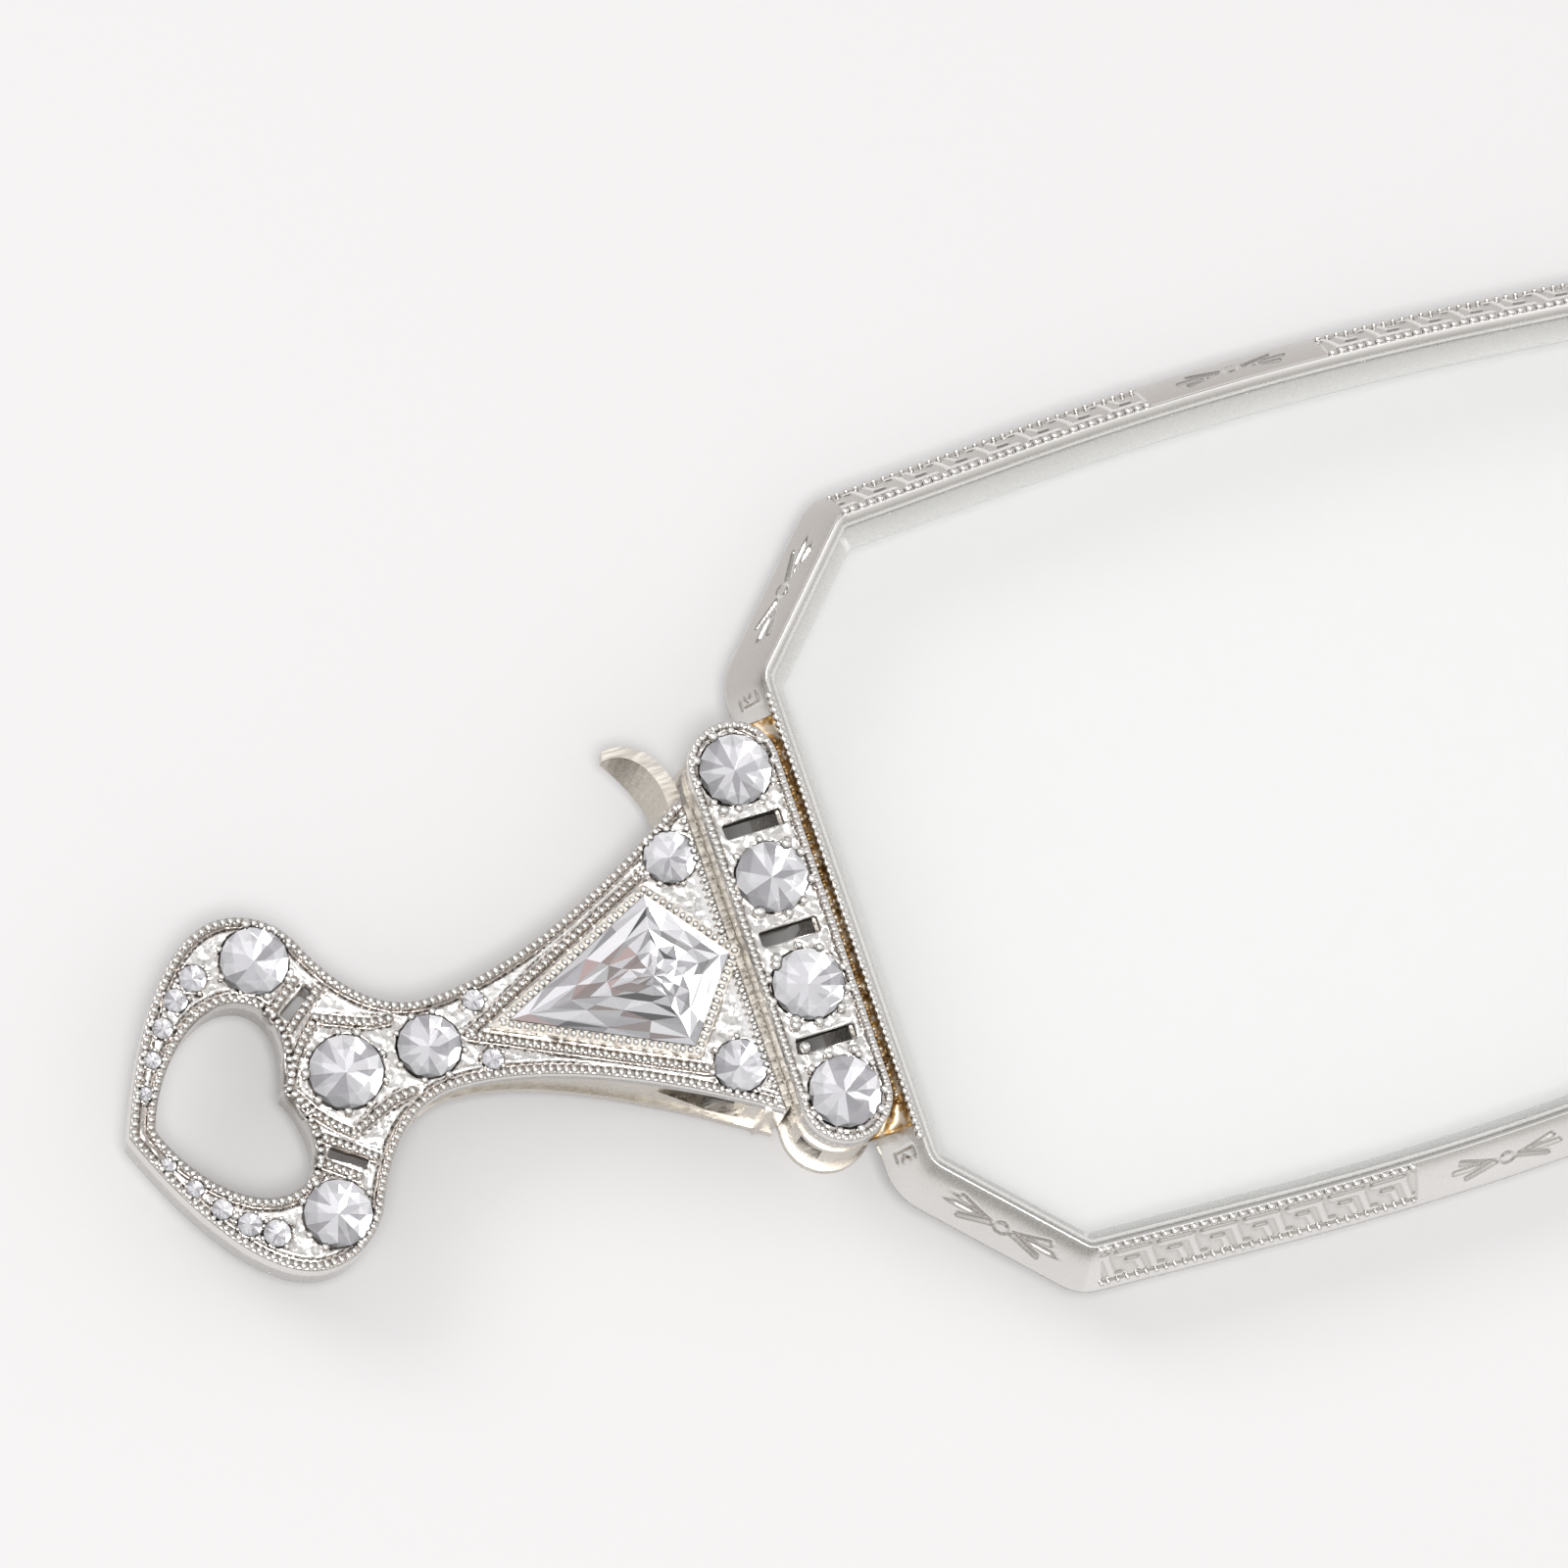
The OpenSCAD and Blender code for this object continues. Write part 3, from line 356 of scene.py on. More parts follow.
def distance(points, path, closed=True):
    """Distance from each point to the nearest spot of a path."""
    ends = np.roll(path, -1, 0) if closed else path[1:]
    starts = path if closed else path[:-1]
    best = np.full(len(points), 9e9)
    for a, b in zip(starts, ends):
        ab = b - a
        t = np.clip(((points - a) @ ab) / max(ab @ ab, 1e-12), 0, 1)
        best = np.minimum(best, np.hypot(*(points - a - t[:, None] * ab).T))
    return best


def facets(points, spacing, tilt, seed):
    """Graver cuts as small flat facets: each point takes the height of the tilted plane through
    the nearest of many scattered centres. It works through the points in chunks to save memory."""
    draw = np.random.default_rng(seed)
    low, high = points.min(0), points.max(0)
    count = int(np.prod(high - low) / spacing ** 2)
    centre = draw.uniform(low, high, (count, 2))
    slope = draw.normal(0, tilt, (count, 2))
    rise, chunk = [], 4000
    for start in range(0, len(points), chunk):
        off = points[start:start + chunk, None] - centre
        near = (off ** 2).sum(-1).argmin(1)
        rise.append((off[np.arange(len(near)), near] * slope[near]).sum(-1))
    return np.concatenate(rise)


def fill(loops, loose=np.empty((0, 2))):
    """Triangles over the plan between the first loop and the others, with loose points among
    them: the plan's points, its anticlockwise triangles, and which point each given one became."""
    start = np.cumsum([0] + [len(loop) for loop in loops])
    rims = [(i + k, i + (k + 1) % len(loop)) for i, loop in zip(start, loops)
            for k in range(len(loop))]
    flat = np.vstack(loops + [loose])
    plan, _, tris, source, _, _ = delaunay_2d_cdt(flat.tolist(), rims, [], 0, 1e-7)
    plan, tris = np.array(plan), np.array([t for t in tris if len(t) == 3])
    tris = tris[inside(plan[tris].mean(1), loops)]
    ab, ac = (plan[tris[:, k]] - plan[tris[:, 0]] for k in (1, 2))
    clockwise = ab[:, 0] * ac[:, 1] < ab[:, 1] * ac[:, 0]
    tris[clockwise] = tris[clockwise][:, ::-1]
    became = np.empty(len(flat), int)
    for new, group in enumerate(source):
        became[group] = new
    return plan, tris, became


def plate(name, edge, holes, loose, height, dirt_and_shade, floor, stands_for):
    """Milled plate with a worked face. edge is an anticlockwise loop, loose the face's other
    points, height and dirt_and_shade functions of plan points. holes lists (loop, centre, rings): a
    hole's wall runs down through rings of (shrink, z), and z None is the underside, floor's level."""
    holes = [(edge, (0, 0), [(1.0, None)])] + holes
    loops = [loop for loop, _, _ in holes]
    loose = loose[inside(loose, loops)]
    gap = np.min([distance(loose, loop) for loop in loops], 0)
    plan, tris, became = fill(loops, loose[gap > 0.02])
    points, marks, faces = [with_height(plan, height(plan))], [dirt_and_shade(plan)], tris.tolist()
    count, start = len(plan), 0
    low_loops, low_index = [], []
    for loop, centre, rings in holes:
        upper = became[start:start + len(loop)]
        start += len(loop)
        outer = loop is edge
        for shrink, z in rings:
            ring = np.array(centre) + shrink * (loop - centre)
            points.append(with_height(ring, floor(ring) if z is None else z))
            # Painted shade on the walls: a little on the outer wall, more down inside the holes.
            marks.append(np.full(len(loop), 0.25 if outer else 0.55))
            lower = count + np.arange(len(loop))
            count += len(loop)
            quads = np.stack([upper, lower, np.roll(lower, -1), np.roll(upper, -1)], 1)
            faces += (quads if outer else quads[:, ::-1]).tolist()
            upper = lower
        low_loops.append(ring)
        low_index.append(lower)
    plan, tris, became = fill(low_loops)
    index = np.empty(len(plan), int)
    index[became] = np.concatenate(low_index)
    faces += index[tris[:, ::-1]].tolist()
    piece(name, np.vstack(points), faces, milled, "platinum", stands_for=stands_for,
          dirt_and_shade=np.concatenate(marks))


def round_seat(x, y, r, top, n=36):
    """Hole for a round stone, 0.03 mm wider than it: its rim, its middle and the rings of its
    tapered wall."""
    a = 2 * np.pi * np.arange(n) / n
    rim = (r + 0.03) * ways_at(a) + [x, y]
    return rim, (x, y), [(1.0, top - 0.07 * r - 0.05), (0.6, top - 0.75 * r), (0.5, None)]


def slot_hole(x, y, length, width, turn):
    """Pierced slot with its corners just broken, turned by an angle in degrees."""
    a, b, c = length / 2, width / 2, 0.06
    rim = np.array([(-a + c, -b), (0, -b), (a - c, -b), (a, -b + c), (a, b - c), (a - c, b), (0, b),
                    (-a + c, b), (-a, b - c), (-a, -b + c)])
    co, si = np.cos(np.radians(turn)), np.sin(np.radians(turn))
    return rim @ np.array([[co, si], [-si, co]]) + [x, y], (x, y), [(1.0, None)]


def grid(low, high, step):
    """Plan points in staggered rows."""
    x, y = np.meshgrid(np.arange(low[0], high[0], step), np.arange(low[1], high[1], step * 0.87))
    x = x + (np.arange(len(x)) % 2)[:, None] * step / 2
    return np.column_stack([x.ravel(), y.ravel()])


def both(places):
    """The given stones, as x, y and radius, and their mirror images across the handle's axis."""
    return [(x, y * f, r) for x, y, r in places for f in (1, -1)]


# Stones, as x, y and radius. Five small ones run down each side of the heart's band.
band_middle = (bezier(*heart_curve, 1000) + bezier(*hole_curve, 1000)) / 2
heart_melee = [(*band_middle[int(999 * (0.2 + 0.62 * i / 4))], 0.42 - 0.05 * i) for i in range(5)]
lobe_stone, stem_melee, shoulder_stone = (
    (-15.85, 4.085, 1.05), (-9.84, 0.95, 0.33), (-2.65, 3.4, 0.82))
stem_stones = [(-14.25, 0.0, 1.15), (-11.57, 0.0, 0.98)]
handle_stones = stem_stones + both([lobe_stone, stem_melee, shoulder_stone] + heart_melee)
kite = np.array([(-1.54, 0.0), (-3.74, 2.83), (-9.69, 0.0), (-3.74, -2.83)])
kite_middle = np.array([-4.34, 0.0])
inner_rows = [np.array(row, float) * side for row in (
    [(-15.95, 0.22), (-15.6, 0.86), (-15.12, 1.42), (-14.62, 1.88)],
    [(-14.42, 1.78), (-13.8, 1.52), (-13.1, 1.24), (-12.5, 1.17)],
    [(-15.5, 1.75), (-14.22, 2.74)], [(-15.85, 2.42), (-14.9, 3.16)])
    for side in ((1, 1), (1, -1))] + [moved_in(kite, -0.27)[1:]]


def from_edges(p, closed=True):
    """Distance from each point to the handle's edge, with or without its mouth, or the hole's."""
    return np.minimum(distance(p, handle_edge, closed), distance(p, hole_edge))


def worked(p):
    """1 where the face is cut into facets, 0 on the border, channels and inner rows."""
    d = np.min([from_edges(p)] + [distance(p, row, closed=False) + 0.22 for row in inner_rows], 0)
    return np.clip((d - 0.42) / 0.1, 0, 1)


def from_stones(p, places):
    """Distance from each point to the edge of the nearest round stone."""
    return np.min([np.hypot(*(p - [x, y]).T) - r for x, y, r in places], 0)


def face_height(p):
    """The handle's face: a rounded border, a cut line and a polished channel inside it, the same
    beside each inner row of milgrain, and cut facets round the stones."""
    z = np.interp(from_edges(p, closed=False), [0, 0.04, 0.25, 0.29, 0.35, 0.47, 0.6],
                  [-0.1, -0.05, -0.05, -0.15, -0.15, -0.05, -0.1])
    for row in inner_rows:
        d = distance(p, row, closed=False)
        ridge = np.interp(d, [0, 0.1, 0.14, 0.2, 0.3], [-0.06, -0.07, -0.15, -0.15, -0.09])
        z = np.where(d < 0.13, np.maximum(z, ridge), np.where(d < 0.3, np.minimum(z, ridge), z))
    return z + worked(p) * facets(p, spacing=0.22, tilt=0.22, seed=5)


def face_dirt_and_shade(p):
    """The cut lines beside the beads and round the stones are darkened, part old dirt and part
    painted shade, and the facets a little, unevenly."""
    darkening = np.interp(from_edges(p, closed=False), [0, 0.05, 0.24, 0.3, 0.36, 0.44],
                     [0.1, 0.6, 0.6, 0.85, 0.5, 0.0])
    for row in inner_rows:
        d = distance(p, row, closed=False)
        darkening = np.maximum(darkening, np.interp(d, [0.05, 0.12, 0.18, 0.26], [0.6, 0.8, 0.6, 0.0]))
    d = from_stones(p, handle_stones)
    darkening = np.maximum(darkening, np.interp(d, [0, 0.06, 0.14], [0.7, 0.3, 0.0]))
    draw = np.random.default_rng(8).normal(0, 0.12, len(p))
    return np.clip(darkening + worked(p) * (0.15 + draw), 0, 1)


# Close points follow each step of the border and of the inner rows, and a grid fills the rest.
face_points = []
for outline, side in ((handle_edge, 1), (hole_edge, -1)):
    for d in (0.04, 0.14, 0.25, 0.29, 0.35, 0.41, 0.47, 0.6):
        at = evenly(moved_in(outline, side * d), 0.085)
        face_points.append(at[from_edges(at) > d - 0.012])
for row in inner_rows:
    at = evenly(row, 0.08, closed=False)
    out = to_left(unit(np.gradient(at, axis=0)))
    face_points += [at + out * d for d in (-0.26, -0.2, -0.14, -0.1, 0, 0.1, 0.14, 0.2, 0.26)]
face_points.append(grid((-21.2, -5.7), (-1.7, 5.7), 0.09))
kite_hole = evenly(moved_in(kite, -0.01), 0.12)
kite_hole[:, 0] = np.minimum(kite_hole[:, 0], -1.8)
handle_holes = [(evenly(hole_edge, 0.1), (-18.0, 0.0), [(1.0, None)]),
                (kite_hole, kite_middle, [(1.0, None)])]
handle_holes += [round_seat(x, y, r, 0.0) for x, y, r in handle_stones]
handle_holes += [slot_hole(-15.0, f * 2.51, 1.25, 0.38, f * 33) for f in (1, -1)]
heart_end, heart_floor, panel_floor = -12.83, -1.95, -0.7
plate("handle_face", evenly(handle_edge, 0.1), handle_holes, np.vstack(face_points), face_height,
      face_dirt_and_shade, lambda p: np.where(p[:, 0] < heart_end, heart_floor, panel_floor),
      ["heart_loop", "handle_panel"])

# The border's row of beads starts on the flare, runs round the heart and crosses the mouth.
bar_side, row_start = -1.85, 20
border = moved_in(handle_edge, 0.145)
border = np.roll(border[border[:, 0] < bar_side], -row_start, 0)
milgrain("milgrain_edge", [(border, False), (moved_in(hole_edge, -0.145), True)])
milgrain("milgrain_lines", [(row, False) for row in inner_rows], shape=(0.1, 0.14, 0.13))


# Round diamonds
#
# Old brilliants, each let into a tapered seat and held by grains raised from the metal round it.
# The facets are flat and sharp, and the lower ones are painted pale and dark as painted
# reflections, like those in the real stones.
def brilliant(r, table=0.64, crown=0.035, depth=0.12, star=0.84, keel=0.3, belt=0.06):
    """Old brilliant of radius r: octagonal table, 8 star, 8 kite and 16 girdle facets above; 8
    mains and 16 halves below. Star and keel points lie in the planes of the kites and mains."""
    eight, sixteen = np.arange(8) * np.pi / 4, np.arange(16) * np.pi / 8
    between, lean = eight + np.pi / 8, np.cos(np.pi / 8)
    rings = ((table, eight, crown), (star, between, crown * (1 - star * lean) / (1 - table)),
             (1.0, sixteen, 0.0), (1.0, sixteen, -belt),
             (keel, between, -belt - (depth - belt) * (1 - keel * lean)))
    points = np.vstack([with_height(s * ways_at(a), z) for s, a, z in rings]
                       + [[0, 0, -depth]]) * r
    flat, stars, upper, lower, keels = (np.arange(n) + start for n, start in (
        (8, 0), (8, 8), (16, 16), (16, 32), (8, 48)))
    faces = [flat.tolist()]
    for corners in ((np.roll(flat, -1), flat, stars),
                    (flat, np.roll(stars, 1), upper[::2], stars),
                    (stars, upper[::2], upper[1::2]),
                    (stars, upper[1::2], np.roll(upper[::2], -1)),
                    (upper, lower, np.roll(lower, -1), np.roll(upper, -1)),
                    (lower[::2], keels, lower[1::2]),
                    (lower[1::2], keels, np.roll(lower[::2], -1)),
                    (lower[::2], np.roll(keels, 1), np.full(8, len(points) - 1), keels)):
        faces += np.stack(corners, 1).tolist()
    return points, faces


def plain(name, inputs):
    """A material that is the same all over."""
    return coated(new_finish(name)[0], inputs)


def silvered(name, tone):
    """Lower facets, which send light back like silver foil laid under the stone, each in a painted
    tone.
    The few tones are painted reflections, standing for the parts of the room that the facets would
    show."""
    return plain(name, {"Base Color": colour(tone), "Metallic": 1.0, "Roughness": 0.015})


def stones(name, places, stands_for, level=0.0):
    """Brilliants at x, y with radius r, each turned by its own angle. The facets of the girdle
    and below it are silvered, each painted in a tone drawn for it as a painted reflection."""
    points, faces, under = [], [], []
    for i, (x, y, r) in enumerate(places):
        one, cut = brilliant(r)
        a = np.radians(37 * i + 11)
        turn = np.array([[np.cos(a), np.sin(a), 0], [-np.sin(a), np.cos(a), 0], [0, 0, 1]])
        points.append(one @ turn + [x, y, level])
        faces += [[corner + len(one) * i for corner in face] for face in cut]
        under += [one[face, 2].min() < -0.04 * r for face in cut]
    # Painted reflections: each facet below the girdle draws one of the foil tones.
    tone = np.random.default_rng(len(name)).choice([1, 2, 3], len(faces), p=[0.45, 0.33, 0.22])
    piece(name, np.vstack(points), faces, [diamond] + painted_facet_tones, "diamond", smooth=False,
          stands_for=[stands_for], layers=under * tone)


diamond = plain("diamond", {"Base Color": colour("#FBFBFE"), "Roughness": 0.0, "IOR": 2.42,
                            "Transmission Weight": 1.0})
painted_facet_tones = [silvered("facet_bright", "#F4F2F3"), silvered("facet_pale", "#DCDADC"),
         silvered("facet_grey", "#B2AFB2")]
bar_face = 0.85
bar_stones = [(0.0, y, 1.12) for y in (-5.25, -1.75, 1.75, 5.25)]
stones("heart_brilliants", both([lobe_stone]), "heart_diamonds")
stones("heart_small_stones", both(heart_melee), "heart_melee")
stones("stem_brilliants", stem_stones, "stem_diamonds")
stones("stem_small_stones", both([stem_melee]), "stem_melee")
stones("shoulder_brilliants", both([shoulder_stone]), "shoulder_diamonds")
stones("bar_brilliants", bar_stones, "bar_diamonds", level=bar_face)


def grains(places, per_stone, level=0.0, seed=1):
    """Middles of the balls of metal pushed over each stone's edge, unevenly round it, and a scale
    for each."""
    draw = np.random.default_rng(seed)
    middles, scales = [], []
    for x, y, r in places:
        n = max(4, int(round(per_stone * (0.5 + r / 2))))
        a = 2 * np.pi * (np.arange(n) + draw.uniform(-0.2, 0.2, n)) / n + draw.uniform(0, 6)
        far = r + 0.1 * (0.4 + r / 2) + draw.uniform(-0.02, 0.03, n)
        middles.append(with_height(far[:, None] * ways_at(a) + [x, y], level))
        scales.append((0.45 + 0.55 * r) * draw.uniform(0.8, 1.2, n))
    return np.vstack(middles), np.concatenate(scales)


middles, scales = grains(handle_stones, 8)
balls("grains_handle", middles, (0.13, 0.13, 0.14), scale=scales)


# Kite-shaped diamond and its collet
#
# A long kite cut by hand into many small facets, in a plain-walled collet of platinum that is
# soldered into the face, with a beaded top edge that is rubbed over the stone.
dress(worn_and_shaded, "old_platinum", "kite_bezel")
milgrain("milgrain_collet", [(moved_in(kite, 0.15), True)], level=0.27, shape=(0.1, 0.13, 0.14))


def kite_cut(per_side=4):
    """Girdle from the collet's inside, a table at 0.7 of it, and under it six rings of small
    facets that close in a point. A ring is the girdle shrunk about one centre, each side bowed
    by a few hundredths, each point a little off its place, as a hand cut leaves them."""
    girdle = moved_in(kite, 0.3)
    share = np.arange(per_side)[:, None] / per_side
    loop = np.vstack([a + share * (b - a) for a, b in zip(girdle, np.roll(girdle, -1, 0))])
    bow = np.tile([0.0, 0.7, 1.0, 0.7], 4)[:, None]
    n = len(loop)

    def ring(s, z, bulge=0.0):
        """The girdle shrunk to s, at height z, its sides bowed outwards."""
        return with_height(kite_middle + s * (loop - kite_middle) * (1 + bulge * bow), z)

    levels = [ring(0.7, 0.31, 0.06), ring(0.85, 0.305, 0.03), ring(1.0, 0.29), ring(1.0, 0.26)]
    draw = np.random.default_rng(21)
    for i, s in enumerate((0.87, 0.73, 0.58, 0.44, 0.3, 0.16)):
        z = np.interp(s, [0, 0.34, 0.6, 0.84, 1], [0.02, 0.11, 0.17, 0.235, 0.26])
        off = draw.uniform(-1, 1, (n, 3)) * [0.04, 0.04, 0.011]
        levels.append(ring(s, z, (0.04, -0.05)[i % 2]) + off)
    j = np.arange(n)
    faces = [j.tolist()]
    for i, quads in enumerate(bands(len(levels), n).reshape(-1, n, 4)):
        from_corner = ((j + i) % 2 == 0)[:, None]
        for half, other_half in (([0, 1, 2], [0, 1, 3]), ([0, 2, 3], [1, 2, 3])):
            faces += np.where(from_corner, quads[:, half], quads[:, other_half]).tolist()
    last = j + n * (len(levels) - 1)
    faces += np.stack([last, np.full(n, n * len(levels)), np.roll(last, -1)], 1).tolist()
    return np.vstack(levels + [[*kite_middle, 0.02]]), faces


# Facets below the girdle are silvered in painted tones, as painted reflections. Those of the long
# end also take painted rose and umber reflections.
points, faces = kite_cut()
girdle_foot, long_end = 0.255, -4.6
below_girdle = np.array([points[face, 2].min() < girdle_foot for face in faces])
wide_end = np.array([points[face, 0].mean() > long_end for face in faces])
draw = np.random.default_rng(12)
# Painted reflections: a tone drawn per facet, rose and umber only towards the long end.
tone = np.where(wide_end, draw.choice([1, 2, 3], len(faces), p=[0.5, 0.35, 0.15]),
                draw.choice([1, 2, 3, 4, 5], len(faces), p=[0.4, 0.27, 0.04, 0.16, 0.13]))
kite_tones = painted_facet_tones + [silvered("facet_rose", "#B79E99"), silvered("facet_umber", "#8E817C")]
piece("kite_stone", points, faces, [diamond] + kite_tones, "diamond", smooth=False,
      stands_for=["kite_diamond"], layers=below_girdle * tone)


# Cross bar
#
# Raised bar with round ends, soldered across the handle's mouth: four brilliants between three
# pierced slots, a beaded border, and a deep wall with a rounded foot rail below.
bar_radius, bar_straight = 1.42, 5.38
dress(worn_and_shaded, "old_platinum", "bar_gallery")
middles, scales = grains(bar_stones, 9, 0.8, seed=4)
big_grains = [(-0.7, 0.82), (-0.77, -0.89), (-0.8, -2.86), (-0.73, -3.58), (0.75, 2.6), (0.7, -4.1),
              (-0.75, 4.15)]
balls("grains_bar", np.vstack([middles, with_height(big_grains, 0.8)]), (0.15, 0.15, 0.16),
      scale=np.r_[scales, np.full(len(big_grains), 1.3)])


def stadium(radius, n=24):
    """Outline of two half circles joined by the bar's straight sides, anticlockwise."""
    a = np.pi * np.arange(n + 1) / n
    top = radius * ways_at(a) + [0, bar_straight]
    return np.vstack([top, -top])


def from_bar_edge(p):
    """Distance from each point to the bar's edge."""
    return distance(p, stadium(bar_radius))


def bar_height(p):
    """The bar's face: a beaded border and, one step down, facets round the stones."""
    d = from_bar_edge(p)
    z = np.interp(d, [0, 0.05, 0.2, 0.23], [0.8, bar_face, bar_face, 0.72])
    return z + np.clip((d - 0.26) / 0.06, 0, 1) * facets(p, spacing=0.22, tilt=0.24, seed=9)


def bar_dirt_and_shade(p):
    """Darkening along the border's foot and round the stones, part old dirt and part painted shade.
    """
    darkening = np.interp(from_bar_edge(p), [0, 0.18, 0.24, 0.36], [0.1, 0.4, 0.85, 0.15])
    d = from_stones(p, bar_stones)
    return np.maximum(darkening, np.interp(d, [0, 0.05, 0.12], [0.6, 0.4, 0.1]))


bar_points = [evenly(stadium(bar_radius - d), 0.08) for d in (0.05, 0.12, 0.2, 0.23, 0.29)]
bar_holes = [round_seat(x, y, r, bar_face) for x, y, r in bar_stones]
bar_holes += [slot_hole(0.0, y, 1.9, 0.5, 0) for y in (-3.5, 0, 3.5)]
bar_floor = 0.05
plate("bar_face", evenly(stadium(bar_radius), 0.1), bar_holes,
      np.vstack(bar_points + [grid((-1.4, -6.8), (1.4, 6.8), 0.08)]), bar_height, bar_dirt_and_shade,
      lambda p: bar_floor, ["bar_plate"])
milgrain("milgrain_bar", [(stadium(1.3), True)], level=bar_face, pitch=0.23,
         shape=(0.09, 0.13, 0.12))


# Lens frames
#
# Octagonal rims of wedge section: a sloping outer face with cut ornament, a bright inner bevel and
# a lip behind the lens. The long rails carry key-pattern panels between rows of milgrain, and the
# corners a dot between two leaves, all cut with a graver.
rim_start, rim_end, hinge_x, rim_back = 0.9, 38.2, 46.2, -1.9
frame_corners = np.array([
    (rim_start, -8.4), (rim_start + 4.45, -13.05), (19.55, -13.81), (rim_end - 5.15, -12.6),
    (rim_end, -7.8), (rim_end, 7.8), (rim_end - 5.15, 12.6), (19.55, 13.81),
    (rim_start + 4.45, 13.05), (rim_start, 8.4)])
corner_radius = np.array([2, 1.6, 110, 1.6, 2, 2, 1.6, 110, 1.6, 2.0])
unbound = 99.0               # a distance that no inset reaches


def rounded_corners():
    """For each corner: the points of its rounding, their inward normals, how far its mitre moves
    for each millimetre of inset, its radius and half its angle."""
    for i, corner in enumerate(frame_corners):
        u, v = (unit(end - corner) for end in (
            frame_corners[i - 1], frame_corners[(i + 1) % len(frame_corners)]))
        half, r = np.arccos(np.clip(u @ v, -1, 1)) / 2, corner_radius[i]
        mitre = unit(u + v) / np.sin(half)
        centre = corner + mitre * r
        a0, a1 = (np.arctan2(*(corner + w * r / np.tan(half) - centre)[::-1]) for w in (u, v))
        turn = (a1 - a0 + np.pi) % (2 * np.pi) - np.pi
        steps = 8 if r < 10 else 60
        out = ways_at(a0 + turn * np.arange(steps + 1) / steps)
        yield centre + r * out, -out, mitre, r, half


def frame_path(fine, coarse, fine_spans):
    """Points round the frame with, for each, how to move it inwards by d: along its normal up to
    its corner's radius, then towards the mitre. fine_spans lists, per straight part, the distances
    from its middle that are cut with ornament and so need close points."""
    arcs = list(rounded_corners())
    runs = {"bottom_left": (0, 1), "bottom": (1, 3), "bottom_right": (3, 4), "nose": (4, 5),
            "top_right": (5, 6), "top": (6, 8), "top_left": (8, 9), "bar": (9, 0)}
    stretches = []
    for part, (first, last) in runs.items():
        points, normals, mitre, r, half = arcs[first]
        n = len(points)
        stretches.append((points, normals, np.tile(mitre, (n, 1)), np.full(n, r),
                          np.zeros((n, 2)), np.full(n, unbound), np.full(n, unbound),
                          np.full(n, r), np.full(n, "corner")))
        line = np.vstack([points[-1:]] + [arcs[i][0] for i in range(first + 1, last)]
                         + [arcs[last][0][:1]])
        run = length_along(line)
        middle = run[-1] / 2
        at = [0.0]
        while at[-1] < run[-1]:
            close = any(low - 0.1 < at[-1] - middle < high for low, high in fine_spans[part])
            at.append(at[-1] + (fine if close else coarse))
        at = np.array(at[1:-1])
        before, points, after = (sampled(line, run, at + step) for step in (-0.05, 0.0, 0.05))
        ahead, share, n = unit(after - before), (at / run[-1])[:, None], len(at)
        stretches.append((points, to_left(ahead), ahead * (1 - share) / np.tan(half),
                          np.full(n, r), -ahead * share / np.tan(arcs[last][4]),
                          np.full(n, arcs[last][3]), at - middle, np.full(n, unbound),
                          np.full(n, part)))
    keys = ("points", "normal", "first_way", "first_radius", "last_way", "last_radius", "along",
            "limit", "part")
    return {key: np.concatenate(values) for key, values in zip(keys, zip(*stretches))}


def shifted(path, d):
    """The path's points moved inwards by d, one column of points for each d: along the normal up
    to a limit, and by what d exceeds the radius of each end's corner, that corner's way."""
    d = np.asarray(d, float)[None, :, None]
    limit, first, last = (path[key][:, None, None] for key in (
        "limit", "first_radius", "last_radius"))
    return (path["points"][:, None] + path["normal"][:, None] * np.minimum(d, limit)
            + path["first_way"][:, None] * np.maximum(d - first, 0)
            + path["last_way"][:, None] * np.maximum(d - last, 0))


def face_curve(w):
    """Section of the outer face from its back edge (w = 0) to the crest (w = 1), slightly bulged:
    inset and height over the flat back."""
    a, b, c = np.array([0.03, 0.35]), np.array([0.40, 1.30]), np.array([1.06, 2.0])
    w = np.asarray(w)[:, None]
    return (1 - w) ** 2 * a + 2 * (1 - w) * w * b + w ** 2 * c


panel_start, panel_end = 3.0, 14.2       # key pattern, from the middle of a long rail
key_length, key_depth = 1.38, 0.055
slants = "bottom_left", "top_left", "bottom_right", "top_right"


def key_cell(s0):
    """Raised lines of one key: a broad bar along the top, a slanted leg and foot, a short hook.
    Each is a path of s, along the rail, and v, down from the crest, with its half width."""
    return [(np.array(line) + [s0, 0], half) for line, half in (
        ([(0.1, 0.5), (0.98, 0.5)], 0.12), ([(0.98, 0.5), (1.2, 1.42)], 0.07),
        ([(1.2, 1.42), (1.46, 1.42)], 0.08), ([(0.34, 0.88), (0.62, 0.88), (0.8, 1.42)], 0.06))]


def leaf_and_dot(s0):
    """Cuts of a ring round a dot, and two strokes and a rib opening away from it on each side, as
    paths with half width and depth."""
    middle = np.array([s0, 0.98])
    cuts = [(middle + 0.24 * ways_at(np.linspace(0, 2 * np.pi, 13)), 0.06, 0.06)]
    for line, half in (([(0.42, 0.02), (1.5, -0.38)], 0.15), ([(0.42, 0.0), (1.35, 0.38)], 0.15),
                       ([(0.9, -0.02), (1.75, -0.02)], 0.13)):
        cuts += [(middle + np.array(line) * [f, 1], half, 0.11) for f in (-1, 1)]
    return cuts


